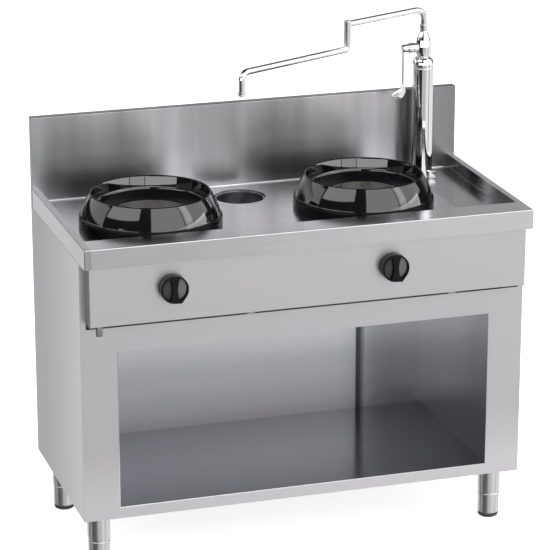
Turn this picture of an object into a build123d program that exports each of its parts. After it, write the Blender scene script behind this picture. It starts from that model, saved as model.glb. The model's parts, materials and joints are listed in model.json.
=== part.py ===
from build123d import *
import math
import os

# A two-burner wok range: a sheet steel cabinet on four adjustable legs, a recessed
# worktop with a splashback, two enamelled wok rings over gas burners, a strainer
# with a drain, and a jointed water tap.
# Millimetres. +X is the operator's right, -Y the operator's side, +Z up.
# The origin is on the floor, under the middle of the range.

# ------------------------------------------------------------------ driving sizes
# Cabinet and worktop
WIDTH = 1200.0
WORKTOP_DEPTH = 600.0
FRONT_OVERHANG = 60.0
RIM_HEIGHT = 900.0
LEG_HEIGHT = 150.0
SHEET = 1.5
TOP_SHEET = 2.0
FOLD_RADIUS = 2.0
FLANGE = 20.0
SIDE_RIM = 18.0
FRONT_RIM = 78.0
RECESS_DEPTH = 35.0
RECESS_CORNER_RADIUS = 5.0
APRON_HEIGHT = 52.0
APRON_RETURN = 12.0
HEAD_FLANGE = 12.0
SPLASH_HEIGHT = 196.0
SPLASH_THICKNESS = 25.0

# Front frame, storage compartment and control panel
STILE_WIDTH = 95.0
BOTTOM_RAIL = 30.0
UPPER_RAIL = 66.0
COMPARTMENT_SETBACK = 32.0
LINER_FLANGE = 15.0
WINDOW_HEIGHT = 163.0
WINDOW_DROP = 13.0
WINDOW_INSET = 57.0
PANEL_INSET = 14.0
PANEL_PROJECTION = 46.0
PANEL_HEIGHT = 157.0
TAB_WIDTH = 15.0
TAB_DROP = 39.0
TAB_THICKNESS = 6.0

# Legs
LEG_SIDE_INSET = 54.0
LEG_END_INSET = 70.0
LEG_RADIUS = 30.5
LEG_WALL = 1.5
LEG_TUBE_DROP = 70.0
LEG_PLATE_GAP = 4.0
LEG_PLATE_THICKNESS = 3.0
LEG_WEB = 5.0
FOOT_CLEARANCE = 0.1
FOOT_ENGAGEMENT = 70.0
PAD_RADIUS = 27.5
PAD_HEIGHT = 12.0

# Wok rings
LEFT_RING_GAP = 45.0
RIGHT_RING_GAP = 160.0
FRONT_RING_GAP = 32.0
RING_HEIGHT = 86.0
RING_BASE_RADIUS = 187.0
RING_BAND_HEIGHT = 27.0
RING_SHOULDER = 9.0
RING_TAPER = 20.0
RING_WALL = 4.5
RING_BOWL_INSET = 12.0
RING_BOWL_DEPTH = 37.0
RING_BOWL_FALL = 14.0
RING_THROAT_GAP = 2.0

# Burners
CHAMBER_RADIUS = 97.0
CHAMBER_SHEET = 2.0
CHAMBER_FLANGE = 33.0
CHAMBER_TOP_GAP = 1.0
CHAMBER_DEPTH = 75.0
WORKTOP_HOLE_GAP = 2.0
CUP_RADIUS = 68.0
CUP_WALL = 5.0
CUP_HEIGHT = 50.0
MIXER_RADIUS = 25.0
MIXER_WALL = 5.0
VENTURI_DROP = 41.0
VENTURI_RADIUS = 18.0
VENTURI_WALL = 3.0
VENTURI_LENGTH = 105.0
INJECTOR_GAP = 15.0
INJECTOR_PLATE = 4.0
INJECTOR_RADIUS = 6.0
INJECTOR_HEX = 9.0
INJECTOR_HEX_LENGTH = 6.0
CROWN_TAPER = 4.0
CROWN_HEIGHT = 20.0
CROWN_BORE = 20.0
CROWN_PORTS = 24
CROWN_PORT_RADIUS = 2.5
PILOT_RADIUS = 4.0
PILOT_HEIGHT = 78.0
PROBE_RADIUS = 2.5
PROBE_HEIGHT = 74.0
PILOT_SPACING_DEG = 16.0
LOOSE_FIT = 0.3
HOLE_GAP = 1.0

# Knobs and gas valves
LEFT_KNOB_OFFSET = -21.0
RIGHT_KNOB_OFFSET = -18.0
KNOB_DROP = 68.0
KNOB_RADIUS = 36.0
KNOB_THICKNESS = 25.0
KNOB_SKIRT = 9.0
KNOB_PUSH = 4.0
KNOB_GAP = 1.0
KNOB_POINTER_REACH = 5.0
KNOB_POINTER_DEG = -65.0
GRIP_WAIST = 14.0
GRIP_END = 30.0
SPINDLE_RADIUS = 4.0
RUNNING_FIT = 0.05
PANEL_HOLE_GAP = 2.0
VALVE_RADIUS = 16.0
VALVE_LENGTH = 55.0
VALVE_SETBACK = 31.0
VALVE_NECK_RADIUS = 9.0
SEAT_POCKET_RADIUS = 10.0
SEAT_POCKET_DEPTH = 12.0
SEAT_THICKNESS = 3.0
SPINDLE_ENGAGEMENT = 26.0
MANIFOLD_RADIUS = 11.0
MANIFOLD_WALL = 2.0
MANIFOLD_DROP = 35.0
MANIFOLD_OVERRUN = 79.0
MANIFOLD_GAP = 52.0
BRACKET_OFFSETS = (221.0, 183.0)
BRACKET_WIDTH = 20.0
BRACKET_FOOT = 44.0
FEED_RADIUS = 5.0
FEED_BEND = 9.0

# Supplies that leave through the base, and their ends
SUPPLY_SIDE_INSET = 48.0
GAS_SETBACK = 200.0
WATER_SETBACK = 148.0
SUPPLY_DROP = 40.0
GAS_THREAD_RADIUS = 13.2
GAS_THREAD_LENGTH = 22.0
GAS_HEX = 18.5
GAS_HEX_LENGTH = 14.0
WATER_RADIUS = 7.5
WATER_WALL = 1.5
WATER_THREAD_RADIUS = 10.4
WATER_THREAD_LENGTH = 20.0
SUPPLY_BEND = 30.0

# Strainer and drain
DRAIN_OFFSET = -1.0
DRAIN_SETBACK = 138.0
DRAIN_RADIUS = 70.0
DRAIN_SHEET = 1.5
DRAIN_BOWL_DEPTH = 66.0
DRAIN_FLANGE = 14.0
DRAIN_LEDGE = 5.0
BASKET_GAP = 1.0
BASKET_DROP = 4.0
BASKET_SHEET = 1.2
BASKET_DEPTH = 40.0
BASKET_KNOB_RADIUS = 8.0
BASKET_KNOB_HEIGHT = 16.0
BASKET_HOLE_RADIUS = 3.0
BASKET_HOLE_RINGS = 4
BASKET_HOLE_PITCH = 13.0
OUTLET_RADIUS = 25.0
OUTLET_WALL = 1.5
OUTLET_DROP = 45.0
OUTLET_BEND = 36.0

# Tap
TAP_SIDE_INSET = 121.0
TAP_SETBACK = 88.6
COLUMN_RADIUS = 29.0
COLUMN_WALL = 2.5
COLUMN_HEIGHT = 337.0
COLUMN_NECK_RADIUS = 15.0
DOME_HEIGHT = 19.0
DOME_STEPS = ((1.0, 6.5), (4.0, 12.0), (8.5, 16.5))
SHANK_RADIUS = 10.4
SHANK_LENGTH = 63.0
LOCKNUT_RADIUS = 18.0
LOCKNUT_HEIGHT = 9.0
BLOCK_SIZE = 18.0
BLOCK_OFFSET_X = 20.0
BLOCK_OFFSET_Y = 26.0
BELL_RADIUS = 21.5
BELL_HEIGHT = 69.0
BELL_STEPS = ((2.0, 4.0), (0.0, 10.0), (0.0, 22.0), (0.7, 33.0), (2.9, 45.0), (7.1, 57.0))
NECK_LENGTH = 6.0
NECK_WALL = 1.4
COLLAR_HEIGHT = 14.0
COLLAR_WALL = 2.2
RISER_RADIUS = 8.8
RISER_WALL = 1.5
RISER_ENGAGEMENT = 39.0
STUB_RISE = 25.0
STUB_RADIUS = 13.7
STUB_LENGTH = 44.0
LEVER_HUB_RADIUS = 11.0
LEVER_HUB_LENGTH = 19.0
LEVER_PIN_RADIUS = 5.0
LEVER_PIN_LENGTH = 16.0
LEVER_STEM_RADIUS = 3.0
LEVER_STEM_INSET = 5.5
LEVER_STEM_LENGTH = 103.0
PADDLE_WIDTH = 43.0
PADDLE_LENGTH = 37.0
PADDLE_THICKNESS = 4.5
ARM_RISE = 42.0
ARM_BEND = 20.0
INNER_ARM_LENGTH = 284.0
INNER_ARM_DEG = 204.3
OUTER_ARM_LENGTH = 383.0
OUTER_ARM_DEG = 206.3
OUTER_ARM_DROP = 68.0
SLEEVE_RADIUS = 9.9
SLEEVE_CAP = 10.0
ELBOW_DROP = 16.0
SPIGOT_RADIUS = 6.5
SPIGOT_TOP_GAP = 6.0
ELBOW_RADIUS = 12.0
ELBOW_COLLAR = 3.0
NOZZLE_DROP = 61.0
NOZZLE_LENGTH = 10.0
NOZZLE_RADIUS = 10.0
NOZZLE_BEND = 17.0

# Rear panel screws
SCREW_RADIUS = 2.0
SCREW_HEAD_RADIUS = 4.0
SCREW_LENGTH = 9.0
SCREW_EDGE = 12.0
SCREW_ROWS = 4
SCREW_GAP = 0.1

# ------------------------------------------------------------------ derived planes
KNOB_PROJECTION = KNOB_GAP + KNOB_PUSH + KNOB_THICKNESS
CABINET_DEPTH = WORKTOP_DEPTH - FRONT_OVERHANG
BACK = (CABINET_DEPTH + PANEL_PROJECTION + KNOB_PROJECTION) / 2
LEFT = -WIDTH / 2
RIGHT = WIDTH / 2
WORKTOP_FRONT = BACK - WORKTOP_DEPTH
CABINET_FRONT = BACK - CABINET_DEPTH
PANEL_FRONT = CABINET_FRONT - PANEL_PROJECTION
SPLASH_FRONT = BACK - SPLASH_THICKNESS
SPLASH_TOP = RIM_HEIGHT + SPLASH_HEIGHT
CABINET_TOP = RIM_HEIGHT - APRON_HEIGHT
WINDOW_TOP = CABINET_TOP - WINDOW_DROP
WINDOW_BOTTOM = WINDOW_TOP - WINDOW_HEIGHT
OPENING_TOP = WINDOW_BOTTOM - UPPER_RAIL
PANEL_BOTTOM = CABINET_TOP - PANEL_HEIGHT
KNOB_HEIGHT = CABINET_TOP - KNOB_DROP
RECESS_FLOOR = RIM_HEIGHT - RECESS_DEPTH
FLOOR_UNDERSIDE = RECESS_FLOOR - TOP_SHEET
SHELF_TOP = LEG_HEIGHT + BOTTOM_RAIL
SHELF_UNDERSIDE = SHELF_TOP - SHEET
COMPARTMENT_BACK = BACK - COMPARTMENT_SETBACK
COMPARTMENT_LEFT = LEFT + STILE_WIDTH
COMPARTMENT_RIGHT = RIGHT - STILE_WIDTH
LEFT_RING_X = LEFT + SIDE_RIM + LEFT_RING_GAP + RING_BASE_RADIUS
RIGHT_RING_X = RIGHT - SIDE_RIM - RIGHT_RING_GAP - RING_BASE_RADIUS
RING_Y = WORKTOP_FRONT + FRONT_RIM + FRONT_RING_GAP + RING_BASE_RADIUS
RING_TOP = RECESS_FLOOR + RING_HEIGHT
RING_FOOT_RADIUS = RING_BASE_RADIUS - RING_SHOULDER
RING_LIP_RADIUS = RING_FOOT_RADIUS - RING_TAPER
RING_BOWL_RADIUS = RING_LIP_RADIUS - RING_BOWL_INSET
RING_THROAT_DEPTH = RING_BOWL_DEPTH + RING_BOWL_FALL
RING_THROAT_RADIUS = CHAMBER_RADIUS + RING_THROAT_GAP
CHAMBER_TOP = RING_TOP - RING_THROAT_DEPTH - CHAMBER_TOP_GAP
CHAMBER_FLOOR = RECESS_FLOOR - CHAMBER_DEPTH
CHAMBER_INSIDE = CHAMBER_RADIUS - CHAMBER_SHEET
CHAMBER_FLANGE_RADIUS = CHAMBER_RADIUS + CHAMBER_FLANGE
CROWN_RADIUS = CUP_RADIUS - CROWN_TAPER
PILOT_ORBIT = (CUP_RADIUS + CHAMBER_INSIDE) / 2
LEFT_KNOB_X = LEFT_RING_X + LEFT_KNOB_OFFSET
RIGHT_KNOB_X = RIGHT_RING_X + RIGHT_KNOB_OFFSET
KNOB_POINTER_RADIUS = KNOB_RADIUS + KNOB_POINTER_REACH
CUP_BASE = CHAMBER_FLOOR + CHAMBER_SHEET
CUP_RIM = CUP_BASE + CUP_HEIGHT
VENTURI_HEIGHT = CHAMBER_FLOOR - VENTURI_DROP
VENTURI_MOUTH = RING_Y - VENTURI_LENGTH
INJECTOR_FACE = VENTURI_MOUTH - INJECTOR_GAP
VALVE_FRONT = PANEL_FRONT + SHEET + VALVE_SETBACK
VALVE_BACK = VALVE_FRONT + VALVE_LENGTH
VALVE_MIDDLE = (VALVE_FRONT + VALVE_BACK) / 2
MANIFOLD_HEIGHT = KNOB_HEIGHT - MANIFOLD_DROP
SUPPLY_X = RIGHT - SUPPLY_SIDE_INSET
SUPPLY_END = LEG_HEIGHT - SUPPLY_DROP
MANIFOLD_LEFT = LEFT_KNOB_X - MANIFOLD_OVERRUN
MANIFOLD_RIGHT = SUPPLY_X - MANIFOLD_GAP
BRACKET_XS = (LEFT_KNOB_X + BRACKET_OFFSETS[0], RIGHT_KNOB_X + BRACKET_OFFSETS[1])
GAS_Y = BACK - GAS_SETBACK
WATER_Y = BACK - WATER_SETBACK
DRAIN_X = (LEFT_RING_X + RIGHT_RING_X) / 2 + DRAIN_OFFSET
DRAIN_Y = BACK - DRAIN_SETBACK
BOWL_BOTTOM = FLOOR_UNDERSIDE - DRAIN_BOWL_DEPTH
TAP_X = RIGHT - TAP_SIDE_INSET
TAP_Y = BACK - TAP_SETBACK
SHANK_BOTTOM = FLOOR_UNDERSIDE - SHANK_LENGTH
COLUMN_TOP = RECESS_FLOOR + COLUMN_HEIGHT
COLUMN_SHOULDER = COLUMN_TOP - DOME_HEIGHT
BELL_TOP = COLUMN_TOP + BELL_HEIGHT
NECK_RADIUS = RISER_RADIUS + NECK_WALL
COLLAR_BASE = BELL_TOP + NECK_LENGTH
COLLAR_TOP = COLLAR_BASE + COLLAR_HEIGHT
COLLAR_RADIUS = RISER_RADIUS + COLLAR_WALL
RISER_BOTTOM = COLLAR_TOP - RISER_ENGAGEMENT
STUB_HEIGHT = COLUMN_TOP + STUB_RISE
LEVER_STEM_BOTTOM = STUB_HEIGHT - LEVER_STEM_LENGTH
ARM_HEIGHT = COLLAR_TOP + ARM_RISE
OUTER_ARM_HEIGHT = ARM_HEIGHT - OUTER_ARM_DROP
SLEEVE_TOP = ARM_HEIGHT + SLEEVE_CAP
SLEEVE_BOTTOM = OUTER_ARM_HEIGHT + ELBOW_DROP
NOZZLE_TIP = OUTER_ARM_HEIGHT - NOZZLE_DROP
LEG_PLATE = (LEG_SIDE_INSET - LEG_PLATE_GAP) * 2
LEG_TUBE_BOTTOM = LEG_HEIGHT - LEG_TUBE_DROP
FOOT_TOP = LEG_TUBE_BOTTOM + FOOT_ENGAGEMENT
BURNERS = {"left": (LEFT_RING_X, LEFT_KNOB_X), "right": (RIGHT_RING_X, RIGHT_KNOB_X)}
LEGS = {
    "front_left": (LEFT + LEG_SIDE_INSET, CABINET_FRONT + LEG_END_INSET),
    "front_right": (RIGHT - LEG_SIDE_INSET, CABINET_FRONT + LEG_END_INSET),
    "rear_left": (LEFT + LEG_SIDE_INSET, BACK - LEG_END_INSET),
    "rear_right": (RIGHT - LEG_SIDE_INSET, BACK - LEG_END_INSET),
}


# ------------------------------------------------------------------ small helpers
def block(x0, x1, y0, y1, z0, z1):
    """A box between two corners."""
    middle = Pos((x0 + x1) / 2, (y0 + y1) / 2, (z0 + z1) / 2)
    return middle * Box(x1 - x0, y1 - y0, z1 - z0)


def post(x, y, z0, z1, radius):
    """An upright round bar from z0 to z1."""
    return Pos(x, y, (z0 + z1) / 2) * Cylinder(radius, z1 - z0)


def tube(x, y, z0, z1, radius, wall):
    """An upright pipe open at both ends."""
    return post(x, y, z0, z1, radius) - post(x, y, z0, z1, radius - wall)


def bar_along_y(x, z, y0, y1, radius):
    """A round bar that lies along Y."""
    return Pos(x, (y0 + y1) / 2, z) * Rot(90, 0, 0) * Cylinder(radius, y1 - y0)


def bar_along_x(y, z, x0, x1, radius):
    """A round bar that lies along X."""
    return Pos((x0 + x1) / 2, y, z) * Rot(0, 90, 0) * Cylinder(radius, x1 - x0)


def turned(x, y, profile):
    """A solid of revolution about an upright axis; profile is (radius, height) points."""
    outline = Polyline(*[(r, 0, z) for r, z in profile], close=True)
    return Pos(x, y, 0) * revolve(make_face(outline), Axis.Z)


def rod_along(points, bends, radius):
    """A round rod along straight runs joined by bends."""
    path = FilletPolyline(*points, radius=bends)
    start = Plane(origin=path @ 0, z_dir=path % 0)
    return sweep(start * Circle(radius), path=path)


def pipe_along(points, bends, radius, wall):
    """A pipe along straight runs joined by bends."""
    return rod_along(points, bends, radius) - rod_along(points, bends, radius - wall)


def hexagon(x, y, z0, z1, corner_radius):
    """An upright hexagonal nut blank."""
    return Pos(x, y, z0) * extrude(RegularPolygon(corner_radius, 6), z1 - z0)


def save(name, shape):
    """Writes one sub-part under its name."""
    export_step(shape, os.path.join("parts", name + ".step"))
    print(name, len(shape.solids()), "solid(s)")


# ------------------------------------------------------------------ worktop and splashback
def worktop():
    """Folded top: raised border on three sides, sunk floor, apron with a turned-in edge."""
    body = block(LEFT, RIGHT, WORKTOP_FRONT, SPLASH_FRONT, CABINET_TOP, RIM_HEIGHT)
    top_edges = body.edges().group_by(Axis.Z)[-1].sort_by(Axis.Y)[:-1]
    front_corners = body.edges().filter_by(Axis.Z).group_by(Axis.Y)[0]
    body = fillet(list(top_edges) + list(front_corners), FOLD_RADIUS)
    recess = block(
        LEFT + SIDE_RIM,
        RIGHT - SIDE_RIM,
        WORKTOP_FRONT + FRONT_RIM,
        SPLASH_FRONT + FRONT_RIM,
        RECESS_FLOOR,
        RIM_HEIGHT + RECESS_DEPTH,
    )
    recess = fillet(recess.edges().filter_by(Axis.Z).group_by(Axis.Y)[0], RECESS_CORNER_RADIUS)
    bottom_edges = recess.edges().group_by(Axis.Z)[0].sort_by(Axis.Y)[:-1]
    recess = fillet(bottom_edges, FOLD_RADIUS)
    under_floor = block(
        LEFT + TOP_SHEET,
        RIGHT - TOP_SHEET,
        WORKTOP_FRONT + TOP_SHEET,
        SPLASH_FRONT - TOP_SHEET,
        CABINET_TOP + TOP_SHEET,
        FLOOR_UNDERSIDE,
    )
    mouth = block(
        LEFT + APRON_RETURN,
        RIGHT - APRON_RETURN,
        WORKTOP_FRONT + APRON_RETURN,
        SPLASH_FRONT - TOP_SHEET,
        CABINET_TOP,
        FLOOR_UNDERSIDE,
    )
    under_rim = block(
        LEFT + TOP_SHEET,
        RIGHT - TOP_SHEET,
        WORKTOP_FRONT + TOP_SHEET,
        SPLASH_FRONT - TOP_SHEET,
        FLOOR_UNDERSIDE,
        RIM_HEIGHT - TOP_SHEET,
    ) - block(
        LEFT + SIDE_RIM - TOP_SHEET,
        RIGHT - SIDE_RIM + TOP_SHEET,
        WORKTOP_FRONT + FRONT_RIM - TOP_SHEET,
        SPLASH_FRONT,
        FLOOR_UNDERSIDE,
        RIM_HEIGHT,
    )
    body = body - recess - under_floor - mouth - under_rim
    for ring_x, _ in BURNERS.values():
        body -= post(ring_x, RING_Y, CABINET_TOP, RIM_HEIGHT, CHAMBER_RADIUS + WORKTOP_HOLE_GAP)
    body -= post(DRAIN_X, DRAIN_Y, CABINET_TOP, RIM_HEIGHT, DRAIN_RADIUS)
    body -= post(TAP_X, TAP_Y, CABINET_TOP, RIM_HEIGHT, SHANK_RADIUS + HOLE_GAP)
    return body


def splashback():
    """Upright folded box behind the worktop, open underneath."""
    body = block(LEFT, RIGHT, SPLASH_FRONT, BACK, CABINET_TOP, SPLASH_TOP)
    body = fillet(body.edges().group_by(Axis.Z)[-1], FOLD_RADIUS)
    hollow = block(
        LEFT + SHEET,
        RIGHT - SHEET,
        SPLASH_FRONT + SHEET,
        BACK - SHEET,
        CABINET_TOP,
        SPLASH_TOP - SHEET,
    )
    return body - hollow


# ------------------------------------------------------------------ cabinet
def screw_heights():
    """Heights of the rear panel's screws, evenly spread over the cabinet."""
    step = (CABINET_TOP - LEG_HEIGHT) / SCREW_ROWS
    return [LEG_HEIGHT + step * (row + 0.5) for row in range(SCREW_ROWS)]


def screw_places():
    """Both edges of the rear panel, every screw height."""
    edges = (LEFT + SCREW_EDGE, RIGHT - SCREW_EDGE)
    return [(x, z) for x in edges for z in screw_heights()]


def side_panel(side):
    """Outer side with flanges along its top, front and rear; side is -1 or +1."""
    outer = LEFT if side < 0 else RIGHT
    front = CABINET_FRONT + SHEET
    rear = BACK - SHEET

    def inward(width, y0, y1, z0, z1):
        near, far = sorted((outer, outer - side * width))
        return block(near, far, y0, y1, z0, z1)

    panel = inward(SHEET, front, rear, LEG_HEIGHT, CABINET_TOP)
    panel += inward(FLANGE, front, rear, CABINET_TOP - SHEET, CABINET_TOP)
    panel += inward(FLANGE, front, front + SHEET, SHELF_TOP, CABINET_TOP)
    panel += inward(FLANGE, rear - SHEET, rear, SHELF_TOP, CABINET_TOP)
    for x, z in screw_places():
        panel -= bar_along_y(x, z, rear - FLANGE, BACK, SCREW_RADIUS + SCREW_GAP)
    return panel


def rear_panel():
    """Flat back sheet with a flange under the splashback and the drain outlet's hole."""
    panel = block(LEFT, RIGHT, BACK - SHEET, BACK, LEG_HEIGHT, CABINET_TOP)
    shelf = block(
        LEFT + FLANGE + SHEET,
        RIGHT - FLANGE - SHEET,
        SPLASH_FRONT,
        BACK - SHEET,
        CABINET_TOP - SHEET,
        CABINET_TOP,
    )
    panel += shelf
    hole = OUTLET_RADIUS + HOLE_GAP
    panel -= bar_along_y(DRAIN_X, BOWL_BOTTOM - OUTLET_DROP, BACK - FLANGE, BACK, hole)
    for x, z in screw_places():
        panel -= bar_along_y(x, z, BACK - FLANGE, BACK, SCREW_RADIUS + SCREW_GAP)
        panel -= countersunk_head(x, z, SCREW_GAP)
    return panel


def countersunk_head(x, z, gap):
    """A cone whose wide end is flush with the back of the range."""
    cone = Cone(SCREW_RADIUS + gap, SCREW_HEAD_RADIUS + gap, SHEET)
    return Pos(x, BACK - SHEET / 2, z) * Rot(-90, 0, 0) * cone


def rear_panel_screws():
    """Countersunk screws through the rear panel into the side flanges."""
    screws = []
    for x, z in screw_places():
        shank = bar_along_y(x, z, BACK - SCREW_LENGTH, BACK - SHEET, SCREW_RADIUS)
        screws.append(shank + countersunk_head(x, z, 0))
    return Compound(children=screws)


def front_frame():
    """Face of the cabinet: stiles and rails round the compartment and the valve window."""
    frame = block(LEFT, RIGHT, CABINET_FRONT, CABINET_FRONT + SHEET, LEG_HEIGHT, CABINET_TOP)
    head_inset = APRON_RETURN + SHEET
    head_top = RIM_HEIGHT - TOP_SHEET
    frame += block(
        LEFT + head_inset,
        RIGHT - head_inset,
        CABINET_FRONT,
        CABINET_FRONT + SHEET,
        CABINET_TOP,
        head_top,
    )
    frame += block(
        LEFT + head_inset,
        RIGHT - head_inset,
        CABINET_FRONT,
        CABINET_FRONT + HEAD_FLANGE,
        head_top - SHEET,
        head_top,
    )
    frame -= block(
        COMPARTMENT_LEFT,
        COMPARTMENT_RIGHT,
        CABINET_FRONT,
        CABINET_FRONT + SHEET,
        SHELF_TOP,
        OPENING_TOP,
    )
    frame -= block(
        LEFT + WINDOW_INSET,
        RIGHT - WINDOW_INSET,
        CABINET_FRONT,
        CABINET_FRONT + SHEET,
        WINDOW_BOTTOM,
        WINDOW_TOP,
    )
    return frame


def base_shelf():
    """Bottom tray: the compartment's floor with turned-down edges round the legs' plates."""
    x0, x1 = LEFT + SHEET, RIGHT - SHEET
    y0, y1 = CABINET_FRONT + SHEET, BACK - SHEET
    tray = block(x0, x1, y0, y1, LEG_HEIGHT, SHELF_TOP)
    tray -= block(x0 + SHEET, x1 - SHEET, y0 + SHEET, y1 - SHEET, LEG_HEIGHT, SHELF_UNDERSIDE)
    tray -= post(SUPPLY_X, GAS_Y, LEG_HEIGHT, SHELF_TOP, MANIFOLD_RADIUS + HOLE_GAP)
    tray -= post(SUPPLY_X, WATER_Y, LEG_HEIGHT, SHELF_TOP, WATER_RADIUS + HOLE_GAP)
    return tray


def compartment_side(side):
    """Inner side wall of the compartment, with a flange behind the stile."""
    inner = COMPARTMENT_LEFT if side < 0 else COMPARTMENT_RIGHT
    front = CABINET_FRONT + SHEET
    near, far = sorted((inner, inner + side * SHEET))
    top = OPENING_TOP + LINER_FLANGE
    wall = block(near, far, front, COMPARTMENT_BACK, SHELF_TOP, top)
    near, far = sorted((inner, inner + side * LINER_FLANGE))
    return wall + block(near, far, front, front + SHEET, SHELF_TOP, top)


def compartment_back():
    """Rear wall of the compartment, with edges turned back to the rear panel."""
    x0, x1 = COMPARTMENT_LEFT - SHEET, COMPARTMENT_RIGHT + SHEET
    top = OPENING_TOP + LINER_FLANGE
    wall = block(x0, x1, COMPARTMENT_BACK, COMPARTMENT_BACK + SHEET, SHELF_TOP, top)
    wall += block(x0, x0 + SHEET, COMPARTMENT_BACK, BACK - SHEET, SHELF_TOP, top)
    wall += block(x1 - SHEET, x1, COMPARTMENT_BACK, BACK - SHEET, SHELF_TOP, top)
    return wall


def compartment_ceiling():
    """Tray over the compartment that keeps heat and drips out, edges turned up."""
    x0, x1 = COMPARTMENT_LEFT, COMPARTMENT_RIGHT
    y0, y1 = CABINET_FRONT + SHEET, COMPARTMENT_BACK
    top = OPENING_TOP + LINER_FLANGE
    tray = block(x0, x1, y0, y1, OPENING_TOP, top)
    hollow = block(x0 + SHEET, x1 - SHEET, y0 + SHEET, y1 - SHEET, OPENING_TOP + SHEET, top)
    return tray - hollow


def control_panel():
    """Shallow box on the front, open to the cabinet, with a hole for each spindle."""
    x0, x1 = LEFT + PANEL_INSET, RIGHT - PANEL_INSET
    panel = block(x0, x1, PANEL_FRONT, CABINET_FRONT, PANEL_BOTTOM, CABINET_TOP)
    panel = fillet(panel.edges().group_by(Axis.Y)[0], FOLD_RADIUS)
    panel -= block(
        x0 + SHEET,
        x1 - SHEET,
        PANEL_FRONT + SHEET,
        CABINET_FRONT,
        PANEL_BOTTOM + SHEET,
        CABINET_TOP - SHEET,
    )
    for _, knob_x in BURNERS.values():
        hole = SPINDLE_RADIUS + PANEL_HOLE_GAP
        panel -= bar_along_y(knob_x, KNOB_HEIGHT, PANEL_FRONT, CABINET_FRONT, hole)
    return panel


def panel_tab():
    """Small bracket on the frame that carries the control panel's left end."""
    x0 = LEFT + WINDOW_INSET - TAB_WIDTH
    x1 = LEFT + WINDOW_INSET
    z0 = PANEL_BOTTOM - TAB_DROP
    tab = block(x0, x1, CABINET_FRONT - TAB_THICKNESS, CABINET_FRONT, z0, PANEL_BOTTOM)
    return chamfer(tab.edges().filter_by(Axis.X).group_by(Axis.Y)[0][0], TAB_THICKNESS / 2)


# ------------------------------------------------------------------ legs
def leg_plates():
    """Four plates welded under the shelf, one over each leg."""
    half = LEG_PLATE / 2
    plates = []
    for x, y in LEGS.values():
        bottom = SHELF_UNDERSIDE - LEG_PLATE_THICKNESS
        plates.append(block(x - half, x + half, y - half, y + half, bottom, SHELF_UNDERSIDE))
    return Compound(children=plates)


def leg_tubes():
    """Four upper leg tubes, each with a web that the foot's thread bears on."""
    top = SHELF_UNDERSIDE - LEG_PLATE_THICKNESS
    legs = []
    for x, y in LEGS.values():
        leg = tube(x, y, LEG_TUBE_BOTTOM, top, LEG_RADIUS, LEG_WALL)
        leg += post(x, y, FOOT_TOP, FOOT_TOP + LEG_WEB, LEG_RADIUS - LEG_WALL)
        legs.append(leg)
    return Compound(children=legs)


def foot_stem(x, y):
    """Lower, adjustable part of a leg."""
    radius = LEG_RADIUS - LEG_WALL - FOOT_CLEARANCE
    stem = post(x, y, PAD_HEIGHT, FOOT_TOP, radius)
    return chamfer(stem.edges().group_by(Axis.Z)[0], FOLD_RADIUS)


def foot_pad(x, y):
    """Non-slip pad under a foot."""
    pad = post(x, y, 0, PAD_HEIGHT, PAD_RADIUS)
    return chamfer(pad.edges().group_by(Axis.Z)[0], FOLD_RADIUS)


# ------------------------------------------------------------------ wok rings and burners
def wok_ring(x):
    """Enamelled ring: a foot band, a conical wall, and a bowl that falls to the throat."""
    floor = RECESS_FLOOR
    band = floor + RING_BAND_HEIGHT
    top = RING_TOP
    lip = RING_WALL / 2
    throat = top - RING_THROAT_DEPTH
    bowl = top - RING_BOWL_DEPTH
    profile = [
        (RING_BASE_RADIUS - RING_WALL, floor),
        (RING_BASE_RADIUS, floor),
        (RING_BASE_RADIUS, band - lip),
        (RING_BASE_RADIUS - lip, band),
        (RING_FOOT_RADIUS, band + lip / 2),
        (RING_LIP_RADIUS, top - lip),
        (RING_LIP_RADIUS - lip / 2, top),
        (RING_LIP_RADIUS - RING_WALL + lip / 2, top),
        (RING_LIP_RADIUS - RING_WALL, top - lip),
        (RING_BOWL_RADIUS, bowl),
        (RING_THROAT_RADIUS, throat),
        (RING_THROAT_RADIUS, throat - RING_WALL),
        (RING_BOWL_RADIUS + lip, bowl - RING_WALL),
        (RING_FOOT_RADIUS - RING_WALL, band - RING_WALL),
        (RING_BASE_RADIUS - RING_WALL, band - RING_WALL - lip),
    ]
    return turned(x, RING_Y, profile)


def burner_chamber(x):
    """Steel cylinder round the burner, flanged on the worktop, with a floor for the cup."""
    sheet = CHAMBER_SHEET
    flange_top = RECESS_FLOOR + sheet
    profile = [
        (MIXER_RADIUS + LOOSE_FIT, CHAMBER_FLOOR),
        (CHAMBER_RADIUS, CHAMBER_FLOOR),
        (CHAMBER_RADIUS, RECESS_FLOOR),
        (CHAMBER_FLANGE_RADIUS, RECESS_FLOOR),
        (CHAMBER_FLANGE_RADIUS, flange_top),
        (CHAMBER_RADIUS, flange_top),
        (CHAMBER_RADIUS, CHAMBER_TOP),
        (CHAMBER_INSIDE, CHAMBER_TOP),
        (CHAMBER_INSIDE, CHAMBER_FLOOR + sheet),
        (MIXER_RADIUS + LOOSE_FIT, CHAMBER_FLOOR + sheet),
    ]
    chamber = turned(x, RING_Y, profile)
    for place, radius in ((pilot_place(x), PILOT_RADIUS), (probe_place(x), PROBE_RADIUS)):
        chamber -= post(*place, CHAMBER_FLOOR, CUP_BASE, radius + LOOSE_FIT)
    return chamber


def pilot_place(x):
    """Where the pilot burner stands, to the right of the cup."""
    return x + PILOT_ORBIT, RING_Y


def probe_place(x):
    """Where the flame sensor stands, beside the pilot burner."""
    turn = math.radians(PILOT_SPACING_DEG)
    return x + PILOT_ORBIT * math.cos(turn), RING_Y + PILOT_ORBIT * math.sin(turn)


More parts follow.
